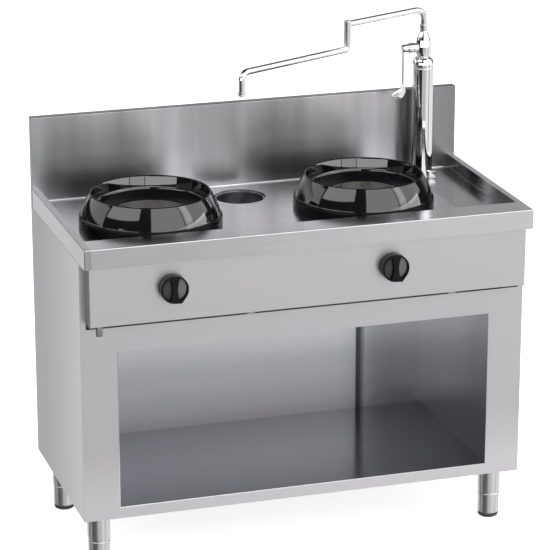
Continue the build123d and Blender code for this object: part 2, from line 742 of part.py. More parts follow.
def burner_body(x):
    """Cast cup on a mixing tube, with a venturi that points at the injector."""
    tube_bottom = VENTURI_HEIGHT - VENTURI_RADIUS - MIXER_WALL
    profile = [
        (0, tube_bottom),
        (MIXER_RADIUS, tube_bottom),
        (MIXER_RADIUS, CUP_BASE),
        (CUP_RADIUS, CUP_BASE),
        (CUP_RADIUS, CUP_RIM),
        (CUP_RADIUS - CUP_WALL, CUP_RIM),
        (CUP_RADIUS - CUP_WALL, CUP_BASE + CUP_WALL),
        (MIXER_RADIUS - MIXER_WALL, CUP_BASE + CUP_WALL),
        (MIXER_RADIUS - MIXER_WALL, tube_bottom + MIXER_WALL),
        (0, tube_bottom + MIXER_WALL),
    ]
    body = turned(x, RING_Y, profile)
    body += bar_along_y(x, VENTURI_HEIGHT, VENTURI_MOUTH, RING_Y, VENTURI_RADIUS)
    body -= bar_along_y(
        x, VENTURI_HEIGHT, VENTURI_MOUTH, RING_Y, VENTURI_RADIUS - VENTURI_WALL
    )
    inside = MIXER_RADIUS - MIXER_WALL
    body -= post(x, RING_Y, tube_bottom + MIXER_WALL, CUP_BASE + CUP_WALL, inside)
    arm = VENTURI_WALL
    for side in (-1, 1):
        near, far = sorted((x + side * VENTURI_RADIUS, x + side * (VENTURI_RADIUS - arm)))
        y1 = VENTURI_MOUTH + INJECTOR_GAP
        body += block(near, far, INJECTOR_FACE, y1, VENTURI_HEIGHT - arm, VENTURI_HEIGHT + arm)
    half = INJECTOR_HEX
    plate = block(
        x - VENTURI_RADIUS,
        x + VENTURI_RADIUS,
        INJECTOR_FACE,
        INJECTOR_FACE + INJECTOR_PLATE,
        VENTURI_HEIGHT - half,
        VENTURI_HEIGHT + half,
    )
    plate -= bar_along_y(
        x, VENTURI_HEIGHT, INJECTOR_FACE, VENTURI_MOUTH, INJECTOR_RADIUS + RUNNING_FIT
    )
    return body + plate


def burner_crown(x):
    """Lift-off burner head with a ring of slanting flame ports."""
    rim = CUP_RADIUS - CUP_WALL - LOOSE_FIT
    profile = [
        (CROWN_BORE, CUP_RIM),
        (rim, CUP_RIM - CROWN_HEIGHT / 2),
        (rim, CUP_RIM),
        (CUP_RADIUS, CUP_RIM),
        (CROWN_RADIUS, CUP_RIM + CROWN_HEIGHT),
        (CROWN_BORE, CUP_RIM + CROWN_HEIGHT),
    ]
    crown = turned(x, RING_Y, profile)
    reach = CROWN_RADIUS - CROWN_PORT_RADIUS * 3
    for turn in range(CROWN_PORTS):
        angle = math.tau * turn / CROWN_PORTS
        place = (x + reach * math.cos(angle), RING_Y + reach * math.sin(angle))
        crown -= post(*place, CUP_BASE, RING_TOP, CROWN_PORT_RADIUS)
    return crown


def burner_injectors():
    """Brass nozzles that blow gas into the venturis."""
    nozzles = []
    for x, _ in BURNERS.values():
        shank = bar_along_y(x, VENTURI_HEIGHT, INJECTOR_FACE, VENTURI_MOUTH, INJECTOR_RADIUS)
        blank = extrude(RegularPolygon(INJECTOR_HEX, 6), INJECTOR_HEX_LENGTH)
        hexagonal = Pos(x, INJECTOR_FACE, VENTURI_HEIGHT) * Rot(90, 0, 0) * blank
        nozzle = shank + hexagonal
        nozzles.append(nozzle)
    return Compound(children=nozzles)


def upright_in_floor(place, height, radius):
    """A round piece through the chamber's floor, held by a washer on it."""
    x, y = place
    bottom = CHAMBER_FLOOR - CHAMBER_SHEET * 4
    piece = post(x, y, bottom, CUP_BASE + height, radius)
    return piece + post(x, y, CUP_BASE, CUP_BASE + CHAMBER_SHEET, radius * 2)


def pilot_burners():
    """One pilot burner beside each cup."""
    return Compound(
        children=[
            upright_in_floor(pilot_place(x), PILOT_HEIGHT, PILOT_RADIUS)
            for x, _ in BURNERS.values()
        ]
    )


def flame_sensors():
    """One thermocouple beside each pilot burner."""
    return Compound(
        children=[
            upright_in_floor(probe_place(x), PROBE_HEIGHT, PROBE_RADIUS)
            for x, _ in BURNERS.values()
        ]
    )


# ------------------------------------------------------------------ gas line and knobs
def gas_manifold():
    """Pipe that feeds both valves, closed at its left end."""
    y, z = VALVE_MIDDLE, MANIFOLD_HEIGHT
    pipe = bar_along_x(y, z, MANIFOLD_LEFT, MANIFOLD_RIGHT, MANIFOLD_RADIUS)
    bore = MANIFOLD_RADIUS - MANIFOLD_WALL
    return pipe - bar_along_x(y, z, MANIFOLD_LEFT + MANIFOLD_WALL, MANIFOLD_RIGHT, bore)


def manifold_brackets():
    """Brackets from the frame's upper rail to the underside of the manifold."""
    rear_face = CABINET_FRONT + SHEET
    tongue_top = MANIFOLD_HEIGHT - MANIFOLD_RADIUS
    tongue_back = VALVE_MIDDLE + MANIFOLD_RADIUS
    brackets = []
    for x in BRACKET_XS:
        x0, x1 = x - BRACKET_WIDTH / 2, x + BRACKET_WIDTH / 2
        upright_bottom = WINDOW_BOTTOM - BRACKET_FOOT
        upright = block(x0, x1, rear_face, rear_face + SHEET, upright_bottom, tongue_top)
        tongue = block(x0, x1, rear_face, tongue_back, tongue_top - SHEET, tongue_top)
        brackets.append(upright + tongue)
    return Compound(children=brackets)


def gas_valve(knob_x):
    """Valve body on the manifold, with a pocket for the spindle's spring seat."""
    z = KNOB_HEIGHT
    body = bar_along_y(knob_x, z, VALVE_FRONT, VALVE_BACK, VALVE_RADIUS)
    body += post(knob_x, VALVE_MIDDLE, MANIFOLD_HEIGHT, z, VALVE_NECK_RADIUS)
    body -= bar_along_x(VALVE_MIDDLE, MANIFOLD_HEIGHT, LEFT, RIGHT, MANIFOLD_RADIUS)
    pocket_end = VALVE_FRONT + SEAT_POCKET_DEPTH
    body -= bar_along_y(knob_x, z, VALVE_FRONT, pocket_end, SEAT_POCKET_RADIUS)
    bore_end = VALVE_FRONT + SPINDLE_ENGAGEMENT + KNOB_PUSH + KNOB_GAP
    body -= bar_along_y(knob_x, z, VALVE_FRONT, bore_end, SPINDLE_RADIUS + RUNNING_FIT)
    return body


def spring_seat(knob_x):
    """Washer on the spindle that takes the push of the knob back."""
    y0 = VALVE_FRONT + KNOB_GAP
    seat = bar_along_y(
        knob_x, KNOB_HEIGHT, y0, y0 + SEAT_THICKNESS, SEAT_POCKET_RADIUS - LOOSE_FIT
    )
    return seat - bar_along_y(
        knob_x, KNOB_HEIGHT, y0, y0 + SEAT_THICKNESS, SPINDLE_RADIUS + RUNNING_FIT
    )


def spindle(knob_x):
    """Shaft from the valve to the knob's hub."""
    hub_end = PANEL_FRONT - KNOB_GAP - KNOB_PUSH - KNOB_SKIRT
    valve_end = VALVE_FRONT + SPINDLE_ENGAGEMENT
    return bar_along_y(knob_x, KNOB_HEIGHT, hub_end, valve_end, SPINDLE_RADIUS)


def knob(knob_x):
    """Round knob with a pointer corner on its skirt and a waisted grip bar."""
    back = PANEL_FRONT - KNOB_GAP - KNOB_PUSH
    front = back - KNOB_THICKNESS
    turn = math.radians(KNOB_POINTER_DEG)
    spread = math.acos(KNOB_RADIUS / KNOB_POINTER_RADIUS)
    tip = (KNOB_POINTER_RADIUS * math.cos(turn), KNOB_POINTER_RADIUS * math.sin(turn))
    tangents = [
        (KNOB_RADIUS * math.cos(turn + side), KNOB_RADIUS * math.sin(turn + side))
        for side in (-spread, spread)
    ]
    pointer = make_face(Polyline((0, 0), tangents[0], tip, tangents[1], close=True))
    disc = extrude(Circle(KNOB_RADIUS) + pointer, KNOB_THICKNESS)
    disc = chamfer(disc.edges().group_by(Axis.Z)[-1], FOLD_RADIUS)
    half_length = KNOB_RADIUS
    scoops = []
    for side in (-1, 1):
        waist = (side * GRIP_WAIST / 2, 0)
        ends = [(side * GRIP_END / 2, -half_length), (side * GRIP_END / 2, half_length)]
        curve = ThreePointArc(ends[0], waist, ends[1])
        far = side * KNOB_RADIUS * 2
        rest = Polyline(ends[1], (far, half_length), (far, -half_length), ends[0])
        outside = make_face(curve + rest)
        pocket = outside & Circle(KNOB_RADIUS - FOLD_RADIUS * 2)
        scoops.append(extrude(pocket, KNOB_THICKNESS - KNOB_SKIRT))
    body = disc
    for scoop in scoops:
        body -= Pos(0, 0, KNOB_SKIRT) * scoop
    body -= Cylinder(SPINDLE_RADIUS, KNOB_SKIRT * 2)
    return Pos(knob_x, back, KNOB_HEIGHT) * Rot(90, 0, 0) * body


def burner_feed_pipes():
    """Short pipes from each valve to its injector."""
    pipes = []
    start_run = 20.0
    for x, knob_x in BURNERS.values():
        nozzle_end = INJECTOR_FACE - INJECTOR_HEX_LENGTH
        bend_y = (VALVE_BACK + nozzle_end) / 2
        points = [
            (knob_x, VALVE_BACK, KNOB_HEIGHT),
            (knob_x, bend_y, KNOB_HEIGHT),
            (x, bend_y, VENTURI_HEIGHT),
            (x, nozzle_end, VENTURI_HEIGHT),
        ]
        pipes.append(rod_along(points, min(FEED_BEND, start_run), FEED_RADIUS))
    return Compound(children=pipes)


def gas_supply_pipe():
    """Pipe from the manifold along the right side and down through the shelf."""
    thread_top = SUPPLY_END + GAS_THREAD_LENGTH + GAS_HEX_LENGTH
    points = [
        (MANIFOLD_RIGHT, VALVE_MIDDLE, MANIFOLD_HEIGHT),
        (SUPPLY_X, VALVE_MIDDLE, MANIFOLD_HEIGHT),
        (SUPPLY_X, GAS_Y, MANIFOLD_HEIGHT),
        (SUPPLY_X, GAS_Y, thread_top),
    ]
    return pipe_along(points, SUPPLY_BEND, MANIFOLD_RADIUS, MANIFOLD_WALL)


def gas_inlet_fitting():
    """Hexagon with a male thread that the gas hose screws on."""
    thread_top = SUPPLY_END + GAS_THREAD_LENGTH
    hex_top = thread_top + GAS_HEX_LENGTH
    fitting = post(SUPPLY_X, GAS_Y, SUPPLY_END, thread_top, GAS_THREAD_RADIUS)
    fitting += hexagon(SUPPLY_X, GAS_Y, thread_top, hex_top, GAS_HEX)
    bore = MANIFOLD_RADIUS - MANIFOLD_WALL
    return fitting - post(SUPPLY_X, GAS_Y, SUPPLY_END, hex_top, bore)


# ------------------------------------------------------------------ strainer and drain
def drain_bowl():
    """Cup under the worktop's hole, with a ledge inside for the strainer."""
    sheet = DRAIN_SHEET
    top = FLOOR_UNDERSIDE
    ledge_top = RECESS_FLOOR - BASKET_DROP - BASKET_SHEET
    inner = OUTLET_RADIUS - OUTLET_WALL
    profile = [
        (inner, BOWL_BOTTOM),
        (DRAIN_RADIUS + sheet, BOWL_BOTTOM),
        (DRAIN_RADIUS + sheet, top - sheet),
        (DRAIN_RADIUS + DRAIN_FLANGE, top - sheet),
        (DRAIN_RADIUS + DRAIN_FLANGE, top),
        (DRAIN_RADIUS, top),
        (DRAIN_RADIUS, ledge_top),
        (DRAIN_RADIUS - DRAIN_LEDGE, ledge_top),
        (DRAIN_RADIUS - DRAIN_LEDGE, ledge_top - sheet),
        (DRAIN_RADIUS, ledge_top - sheet),
        (DRAIN_RADIUS, BOWL_BOTTOM + sheet),
        (inner, BOWL_BOTTOM + sheet),
    ]
    return turned(DRAIN_X, DRAIN_Y, profile)


def drain_outlet():
    """Waste pipe from the bowl, bent to the back of the range."""
    level = BOWL_BOTTOM - OUTLET_DROP
    points = [
        (DRAIN_X, DRAIN_Y, BOWL_BOTTOM),
        (DRAIN_X, DRAIN_Y, level),
        (DRAIN_X, BACK, level),
    ]
    return pipe_along(points, OUTLET_BEND, OUTLET_RADIUS, OUTLET_WALL)


def strainer_basket():
    """Perforated cup that hangs on the bowl's ledge, with a knob to lift it by."""
    sheet = BASKET_SHEET
    top = RECESS_FLOOR - BASKET_DROP
    wall = DRAIN_RADIUS - DRAIN_LEDGE - BASKET_GAP
    bottom = top - BASKET_DEPTH
    profile = [
        (0, bottom),
        (wall, bottom),
        (wall, top - sheet),
        (DRAIN_RADIUS - BASKET_GAP, top - sheet),
        (DRAIN_RADIUS - BASKET_GAP, top),
        (wall - sheet, top),
        (wall - sheet, bottom + sheet),
        (BASKET_KNOB_RADIUS, bottom + sheet),
        (BASKET_KNOB_RADIUS, bottom + sheet + BASKET_KNOB_HEIGHT),
        (0, bottom + sheet + BASKET_KNOB_HEIGHT),
    ]
    basket = turned(DRAIN_X, DRAIN_Y, profile)
    for ring in range(1, BASKET_HOLE_RINGS + 1):
        radius = ring * BASKET_HOLE_PITCH
        for turn in range(6 * ring):
            angle = math.tau * turn / (6 * ring)
            place = (DRAIN_X + radius * math.cos(angle), DRAIN_Y + radius * math.sin(angle))
            basket -= post(*place, bottom, bottom + sheet, BASKET_HOLE_RADIUS)
    return basket


# ------------------------------------------------------------------ tap
def direction(degrees):
    """A level unit step in a compass direction, anticlockwise from +X."""
    return math.cos(math.radians(degrees)), math.sin(math.radians(degrees))


def arm_joint():
    """Where the two arms of the tap join."""
    dx, dy = direction(INNER_ARM_DEG)
    return TAP_X + INNER_ARM_LENGTH * dx, TAP_Y + INNER_ARM_LENGTH * dy


def nozzle_place():
    """Where the outer arm turns down."""
    x, y = arm_joint()
    dx, dy = direction(OUTER_ARM_DEG)
    return x + OUTER_ARM_LENGTH * dx, y + OUTER_ARM_LENGTH * dy


def tap_column():
    """Round column on the worktop, with a threaded shank through the floor."""
    wall = COLUMN_WALL
    profile = [
        (0, SHANK_BOTTOM),
        (SHANK_RADIUS, SHANK_BOTTOM),
        (SHANK_RADIUS, RECESS_FLOOR),
        (COLUMN_RADIUS, RECESS_FLOOR),
        (COLUMN_RADIUS, COLUMN_SHOULDER),
        *[(COLUMN_RADIUS - inset, COLUMN_SHOULDER + rise) for inset, rise in DOME_STEPS],
        (COLUMN_NECK_RADIUS, COLUMN_TOP),
        (0, COLUMN_TOP),
        (0, COLUMN_SHOULDER - wall),
        (COLUMN_RADIUS - wall, COLUMN_SHOULDER - wall),
        (COLUMN_RADIUS - wall, RECESS_FLOOR + wall),
        (0, RECESS_FLOOR + wall),
    ]
    return turned(TAP_X, TAP_Y, profile)


def tap_base_block():
    """Small anchor block against the front right of the column's foot."""
    x, y = TAP_X + BLOCK_OFFSET_X, TAP_Y - BLOCK_OFFSET_Y
    half = BLOCK_SIZE / 2
    piece = block(x - half, x + half, y - half, y + half, RECESS_FLOOR, RECESS_FLOOR + BLOCK_SIZE)
    piece -= post(TAP_X, TAP_Y, RECESS_FLOOR, RIM_HEIGHT, COLUMN_RADIUS)
    return piece


def tap_locknut():
    """Nut under the worktop that clamps the tap."""
    bottom = FLOOR_UNDERSIDE - LOCKNUT_HEIGHT
    nut = hexagon(TAP_X, TAP_Y, bottom, FLOOR_UNDERSIDE, LOCKNUT_RADIUS)
    return nut - post(TAP_X, TAP_Y, bottom, FLOOR_UNDERSIDE, SHANK_RADIUS + RUNNING_FIT)


def water_supply_pipe():
    """Pipe from the tap's shank to a threaded end under the shelf."""
    bend_height = SHANK_BOTTOM - SUPPLY_BEND - WATER_THREAD_RADIUS
    thread_top = SUPPLY_END + WATER_THREAD_LENGTH
    points = [
        (TAP_X, TAP_Y, SHANK_BOTTOM),
        (TAP_X, TAP_Y, bend_height),
        (SUPPLY_X, WATER_Y, bend_height),
        (SUPPLY_X, WATER_Y, SUPPLY_END),
    ]
    pipe = rod_along(points, SUPPLY_BEND, WATER_RADIUS)
    pipe += post(SUPPLY_X, WATER_Y, SUPPLY_END, thread_top, WATER_THREAD_RADIUS)
    return pipe - rod_along(points, SUPPLY_BEND, WATER_RADIUS - WATER_WALL)


def tap_valve_body():
    """Valve on the column: a bell, a neck with a collar for the arm, a side stub."""
    bore = RISER_RADIUS + RUNNING_FIT
    profile = [
        (0, COLUMN_TOP),
        (COLUMN_NECK_RADIUS, COLUMN_TOP),
        *[(BELL_RADIUS - inset, COLUMN_TOP + rise) for inset, rise in BELL_STEPS],
        (NECK_RADIUS, BELL_TOP),
        (NECK_RADIUS, COLLAR_BASE),
        (COLLAR_RADIUS, COLLAR_BASE),
        (COLLAR_RADIUS, COLLAR_TOP),
        (bore, COLLAR_TOP),
        (bore, RISER_BOTTOM),
        (0, RISER_BOTTOM),
    ]
    body = turned(TAP_X, TAP_Y, profile)
    stub_end = TAP_X - STUB_LENGTH
    body += bar_along_x(TAP_Y, STUB_HEIGHT, stub_end, TAP_X, STUB_RADIUS)
    pin_end = stub_end + LEVER_PIN_LENGTH
    body -= bar_along_x(TAP_Y, STUB_HEIGHT, stub_end, pin_end, LEVER_PIN_RADIUS + RUNNING_FIT)
    return body


def tap_lever():
    """Hub on the stub, a thin stem that hangs from it, and a leaf-shaped paddle."""
    stub_end = TAP_X - STUB_LENGTH
    hub_right = stub_end - LOOSE_FIT
    hub_left = hub_right - LEVER_HUB_LENGTH
    stem_x = hub_left + LEVER_STEM_INSET
    lever = bar_along_x(TAP_Y, STUB_HEIGHT, hub_left, hub_right, LEVER_HUB_RADIUS)
    pin_end = stub_end + LEVER_PIN_LENGTH - LOOSE_FIT
    lever += bar_along_x(TAP_Y, STUB_HEIGHT, hub_right, pin_end, LEVER_PIN_RADIUS)
    neck = LEVER_STEM_BOTTOM
    lever += post(stem_x, TAP_Y, neck, STUB_HEIGHT, LEVER_STEM_RADIUS)
    right = stem_x + PADDLE_WIDTH * 0.22
    left = right - PADDLE_WIDTH
    bottom = neck - PADDLE_LENGTH
    outline = Polyline(
        (stem_x - LEVER_STEM_RADIUS, neck + LEVER_STEM_RADIUS),
        (stem_x + LEVER_STEM_RADIUS, neck + LEVER_STEM_RADIUS),
        (right, neck - PADDLE_LENGTH * 0.45),
        (right - PADDLE_WIDTH * 0.09, neck - PADDLE_LENGTH * 0.68),
        (right - PADDLE_WIDTH * 0.28, bottom),
        (left + PADDLE_WIDTH * 0.07, bottom + PADDLE_LENGTH * 0.1),
        (left, bottom + PADDLE_LENGTH * 0.27),
        (left + PADDLE_WIDTH * 0.05, bottom + PADDLE_LENGTH * 0.4),
        (stem_x - PADDLE_WIDTH * 0.12, neck - PADDLE_LENGTH * 0.16),
        close=True,
    )
    face = Plane.XZ.offset(-TAP_Y - PADDLE_THICKNESS / 2) * make_face(outline)
    paddle = extrude(face, PADDLE_THICKNESS, dir=(0, 1, 0))
    return lever + paddle


def tap_inner_arm():
    """Riser, level tube and the sleeve that the outer arm turns in."""
    joint_x, joint_y = arm_joint()
    points = [
        (TAP_X, TAP_Y, RISER_BOTTOM),
        (TAP_X, TAP_Y, ARM_HEIGHT),
        (joint_x, joint_y, ARM_HEIGHT),
    ]
    arm = rod_along(points, ARM_BEND, RISER_RADIUS)
    arm += post(joint_x, joint_y, SLEEVE_BOTTOM, SLEEVE_TOP, SLEEVE_RADIUS)
    arm -= rod_along(points, ARM_BEND, RISER_RADIUS - RISER_WALL)
    bore_top = SLEEVE_TOP - RISER_WALL
    return arm - post(joint_x, joint_y, SLEEVE_BOTTOM, bore_top, SPIGOT_RADIUS + RUNNING_FIT)


def tap_outer_arm():
    """Spigot in the sleeve, an elbow, the long tube and its turned-down end."""
    joint_x, joint_y = arm_joint()
    end_x, end_y = nozzle_place()
    shoulder = SLEEVE_BOTTOM - LOOSE_FIT
    points = [
        (joint_x, joint_y, shoulder),
        (joint_x, joint_y, OUTER_ARM_HEIGHT),
        (end_x, end_y, OUTER_ARM_HEIGHT),
        (end_x, end_y, NOZZLE_TIP + NOZZLE_LENGTH),
    ]
    collar = shoulder - ELBOW_COLLAR
    spigot_top = SLEEVE_TOP - SPIGOT_TOP_GAP
    arm = pipe_along(points, [ELBOW_RADIUS, NOZZLE_BEND], RISER_RADIUS, RISER_WALL)
    arm += post(joint_x, joint_y, collar, shoulder, RISER_RADIUS)
    arm += post(joint_x, joint_y, shoulder, spigot_top, SPIGOT_RADIUS)
    return arm - post(joint_x, joint_y, collar, spigot_top, SPIGOT_RADIUS - RISER_WALL)


def tap_nozzle():
    """Flow straightener on the end of the outer arm."""
    x, y = nozzle_place()
    top = NOZZLE_TIP + NOZZLE_LENGTH
    nozzle = tube(x, y, NOZZLE_TIP, top, NOZZLE_RADIUS, NOZZLE_RADIUS - RISER_RADIUS + RISER_WALL)
    return chamfer(nozzle.edges().group_by(Axis.Z)[0][-1], RISER_WALL / 3)


# ------------------------------------------------------------------ write the sub-parts
os.makedirs("parts", exist_ok=True)

save("worktop", worktop())
save("splashback", splashback())
save("left_side_panel", side_panel(-1))
save("right_side_panel", side_panel(1))
save("rear_panel", rear_panel())
save("rear_panel_screws", rear_panel_screws())
save("front_frame", front_frame())
save("base_shelf", base_shelf())
save("compartment_left_wall", compartment_side(-1))
save("compartment_right_wall", compartment_side(1))
save("compartment_back_wall", compartment_back())
save("compartment_ceiling", compartment_ceiling())
save("control_panel", control_panel())
save("panel_tab", panel_tab())
save("leg_plates", leg_plates())
save("leg_tubes", leg_tubes())
for leg_name, leg_place in LEGS.items():
    save("foot_stem_" + leg_name, foot_stem(*leg_place))
    save("foot_pad_" + leg_name, foot_pad(*leg_place))

for hand, (ring_x, knob_x) in BURNERS.items():
    save("wok_ring_" + hand, wok_ring(ring_x))
    save("burner_chamber_" + hand, burner_chamber(ring_x))
    save("burner_body_" + hand, burner_body(ring_x))
    save("burner_crown_" + hand, burner_crown(ring_x))
    save("gas_valve_" + hand, gas_valve(knob_x))
    save("spring_seat_" + hand, spring_seat(knob_x))
    save("spindle_" + hand, spindle(knob_x))
    save("knob_" + hand, knob(knob_x))
save("burner_injectors", burner_injectors())
save("pilot_burners", pilot_burners())
save("flame_sensors", flame_sensors())
save("burner_feed_pipes", burner_feed_pipes())
save("gas_manifold", gas_manifold())
save("manifold_brackets", manifold_brackets())
save("gas_supply_pipe", gas_supply_pipe())
save("gas_inlet_fitting", gas_inlet_fitting())

save("drain_bowl", drain_bowl())
save("drain_outlet", drain_outlet())
save("strainer_basket", strainer_basket())

save("tap_column", tap_column())
save("tap_base_block", tap_base_block())
save("tap_locknut", tap_locknut())
save("water_supply_pipe", water_supply_pipe())
save("tap_valve_body", tap_valve_body())
save("tap_lever", tap_lever())
save("tap_inner_arm", tap_inner_arm())
save("tap_outer_arm", tap_outer_arm())
save("tap_nozzle", tap_nozzle())
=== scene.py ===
# %% [markdown]
# # A two-burner wok range
# A catering kitchen's wok range: a brushed steel cabinet on four legs, two black enamelled
# rings that hold the round pans, and a jointed water tap. Its parts come ready made as solids
# that fit and move. This lesson dresses them: finishes, small parts, light and a camera.
# Lengths are metres, +Z is up, and the cook stands on the -Y side.

# %% Load the solids
import json
import math

import bmesh
import bpy
from mathutils import Matrix, Vector


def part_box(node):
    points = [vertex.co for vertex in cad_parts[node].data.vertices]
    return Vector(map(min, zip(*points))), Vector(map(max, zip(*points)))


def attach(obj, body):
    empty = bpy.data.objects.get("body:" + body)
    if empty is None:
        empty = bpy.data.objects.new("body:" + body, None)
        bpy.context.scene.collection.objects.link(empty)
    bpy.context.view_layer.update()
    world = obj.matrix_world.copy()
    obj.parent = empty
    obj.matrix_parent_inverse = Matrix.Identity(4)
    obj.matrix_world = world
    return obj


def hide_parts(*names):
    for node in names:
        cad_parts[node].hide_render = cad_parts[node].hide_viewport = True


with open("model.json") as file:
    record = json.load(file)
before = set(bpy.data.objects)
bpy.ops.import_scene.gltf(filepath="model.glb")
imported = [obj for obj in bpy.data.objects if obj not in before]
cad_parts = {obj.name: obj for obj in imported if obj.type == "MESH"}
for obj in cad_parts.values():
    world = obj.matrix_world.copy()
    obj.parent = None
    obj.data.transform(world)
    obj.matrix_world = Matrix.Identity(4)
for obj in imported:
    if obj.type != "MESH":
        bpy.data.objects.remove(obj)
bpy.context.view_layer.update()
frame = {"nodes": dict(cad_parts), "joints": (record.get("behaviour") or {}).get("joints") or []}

nodes = frame["nodes"]

# %% [markdown]
# ## Measuring and placing
# Most parts of the range are round and upright. Their middle, their radius and their two heights
# are all that is needed to set finer work in their place.


# %% Measure a round solid and place an object
def round_solid(name):
    """A round solid's middle from above, then its radius and its two heights in millimetres."""
    low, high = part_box(name)
    middle = ((low.x + high.x) / 2, (low.y + high.y) / 2)
    return middle, (high.x - low.x) * 500, low.z * 1000, high.z * 1000


def placed(name, data):
    """A new object in the scene, made of a mesh, a curve, a lamp or a camera."""
    made = bpy.data.objects.new(name, data)
    bpy.context.scene.collection.objects.link(made)
    return made


print("left ring:", round_solid("wok_ring_left"))

# %% [markdown]
# ## The camera
# The view is from the front left and from above, through a long lens, so the cabinet's edges
# stay nearly parallel. A direction given as a turn and a tilt is easy to read and to adjust.

# %% Place the camera
camera_turn, camera_tilt = -0.306, 0.312
camera_data = bpy.data.cameras.new("studio_camera")
camera_data.sensor_width = 36
camera_data.lens = 176.77
camera_data.clip_end = 60
camera = placed("studio_camera", camera_data)
camera.location = (-2.0669, -6.5012, 2.8904)
camera.rotation_euler = (math.pi / 2 - camera_tilt, 0, camera_turn)
bpy.context.scene.camera = camera
print("camera at", tuple(round(v, 2) for v in camera.location))

# %% [markdown]
# ## Node helpers
# Every finish here is made of shader nodes. Small helpers keep the recipes short: one fills a
# node's inputs with plain values or with the sockets of other nodes, and the others stand for
# the steps that come back in every recipe.


# %% Helpers for node trees
def fill(made, values):
    """A node with some inputs filled: a plain value is set, and a socket is joined."""
    for key, value in values.items():
        if isinstance(value, bpy.types.NodeSocket):
            made.id_data.links.new(value, made.inputs[key])
        else:
            made.inputs[key].default_value = value
    return made


def add(tree, kind, values=None, **settings):
    """A new node in a tree, or in the tree of a socket, with its settings and inputs filled in."""
    made = tree.id_data.nodes.new(kind)
    for key, value in settings.items():
        setattr(made, key, value)
    return fill(made, values or {})


def finish(name, values):
    """A new material, its node tree and its main shader, with the shader's plain values set."""
    material = bpy.data.materials.new(name)
    material.use_nodes = True
    tree = material.node_tree
    return material, tree, fill(tree.nodes["Principled BSDF"], values)


def object_place(tree):
    """The socket that gives each point's place in the range's own frame."""
    return add(tree, "ShaderNodeTexCoord").outputs["Object"]


def coordinates(place):
    """The three sockets of a place: across, along the depth and up."""
    return add(place, "ShaderNodeSeparateXYZ", {0: place}).outputs


def speckle(place, scale, detail=2):
    """Smooth noise of about that many spots to the metre."""
    values = {"Vector": place, "Scale": scale, "Detail": detail, "Roughness": 0.5}
    return add(place, "ShaderNodeTexNoise", values).outputs["Fac"]


def remap(source, low, high, from_low=0.3, from_high=0.7, **settings):
    """The same pattern, stretched to run from low to high."""
    values = {"Value": source, "From Min": from_low, "From Max": from_high, "To Min": low, "To Max": high}
    return add(source, "ShaderNodeMapRange", values, **settings).outputs["Result"]


def blend_colour(fac, first, second):
    """A colour between two, each a colour or a socket."""
    return add(fac, "ShaderNodeMix", {0: fac, 6: first, 7: second}, data_type="RGBA").outputs[2]


def calculate(operation, *terms):
    """One step of arithmetic on a socket and more sockets or numbers."""
    return add(terms[0], "ShaderNodeMath", dict(enumerate(terms)), operation=operation).outputs[0]


def product(first, *others):
    """A socket multiplied by more sockets or numbers."""
    for other in others:
        first = calculate("MULTIPLY", first, other)
    return first


def vector_step(operation, *terms):
    """One step of arithmetic on vectors."""
    return add(terms[0], "ShaderNodeVectorMath", dict(enumerate(terms)), operation=operation).outputs[0]


def darken(colour, *amounts):
    """The colour times each number socket."""
    for amount in amounts:
        scaled = add(colour, "ShaderNodeVectorMath", {0: colour, "Scale": amount}, operation="SCALE")
        colour = scaled.outputs[0]
    return colour


def roughen(shader, height, strength, distance):
    """Bumps on the surface from a height pattern."""
    bump = add(height, "ShaderNodeBump", {"Strength": strength, "Distance": distance, "Height": height})
    fill(shader, {"Normal": bump.outputs["Normal"]})


print("node helpers ready")

# %% [markdown]
# ## Brushed stainless steel
# The sheet is ground with a belt, which leaves fine lines along the length of each panel. The
# lines smear a reflection across themselves, so the shader's highlight is stretched. The lines
# follow the panel: along the width on the front and the top, along the depth on the sides. A
# broad, faint tint that drifts between cool and warm stands for the handling of the sheet.



# %% Recipe for brushed steel
def panel_direction(tree):
    """A level direction in the face, and 1 where the face looks sideways."""
    normal = add(tree, "ShaderNodeNewGeometry").outputs["Normal"]
    level = vector_step("CROSS_PRODUCT", normal, (0, 0, 1))
    never_zero = vector_step("ADD", level, (0.01, 0, 0))
    sideways = calculate("ABSOLUTE", coordinates(normal)[0])
    return vector_step("NORMALIZE", never_zero), calculate("GREATER_THAN", sideways, 0.7)


def stretched(place, scale):
    """Places squeezed or stretched along each axis, to draw noise out into lines."""
    return add(place, "ShaderNodeMapping", {"Vector": place, "Scale": scale}).outputs["Vector"]


def grain(place, sideways, fine=800, drawn_out=0.006):
    """Grinding lines, with that many to the metre across the grain."""
    along_width, along_depth = (
        speckle(stretched(place, scale), 1, 3)
        for scale in ((fine * drawn_out, fine, fine), (fine, fine * drawn_out, fine))
    )
    values = {0: sideways, 2: along_width, 3: along_depth}
    return add(place, "ShaderNodeMix", values, data_type="FLOAT").outputs[0]


def brushed_steel(name, cool, warm, roughness, stretch, shade=None, marks=0.02):
    """Ground sheet: shade darkens chosen places, and marks is how much the lines show, if at all."""
    highlight = {"Metallic": 1, "Anisotropic": stretch, "Anisotropic Rotation": 0.25}
    material, tree, shader = finish(name, highlight)
    place = object_place(tree)
    direction, sideways = panel_direction(tree)
    tint = remap(speckle(place, 2.6, 1), 0, 1)
    colour = blend_colour(tint, (*cool, 1), (*warm, 1))
    if marks:
        lines = grain(place, sideways)
        colour = darken(colour, remap(lines, 1 - marks * 1.5, 1 + marks))
        smear = remap(speckle(place, 7, 3), -0.02, 0.03)
        ridges = remap(lines, roughness - marks, roughness + marks)
        roughness = calculate("ADD", smear, ridges)
        roughen(shader, lines, marks * 1.25, 0.0003)
    if shade:
        colour = shade(place, colour)
    fill(shader, {"Base Color": colour, "Roughness": roughness, "Tangent": direction})
    return material


print("steel recipe ready")

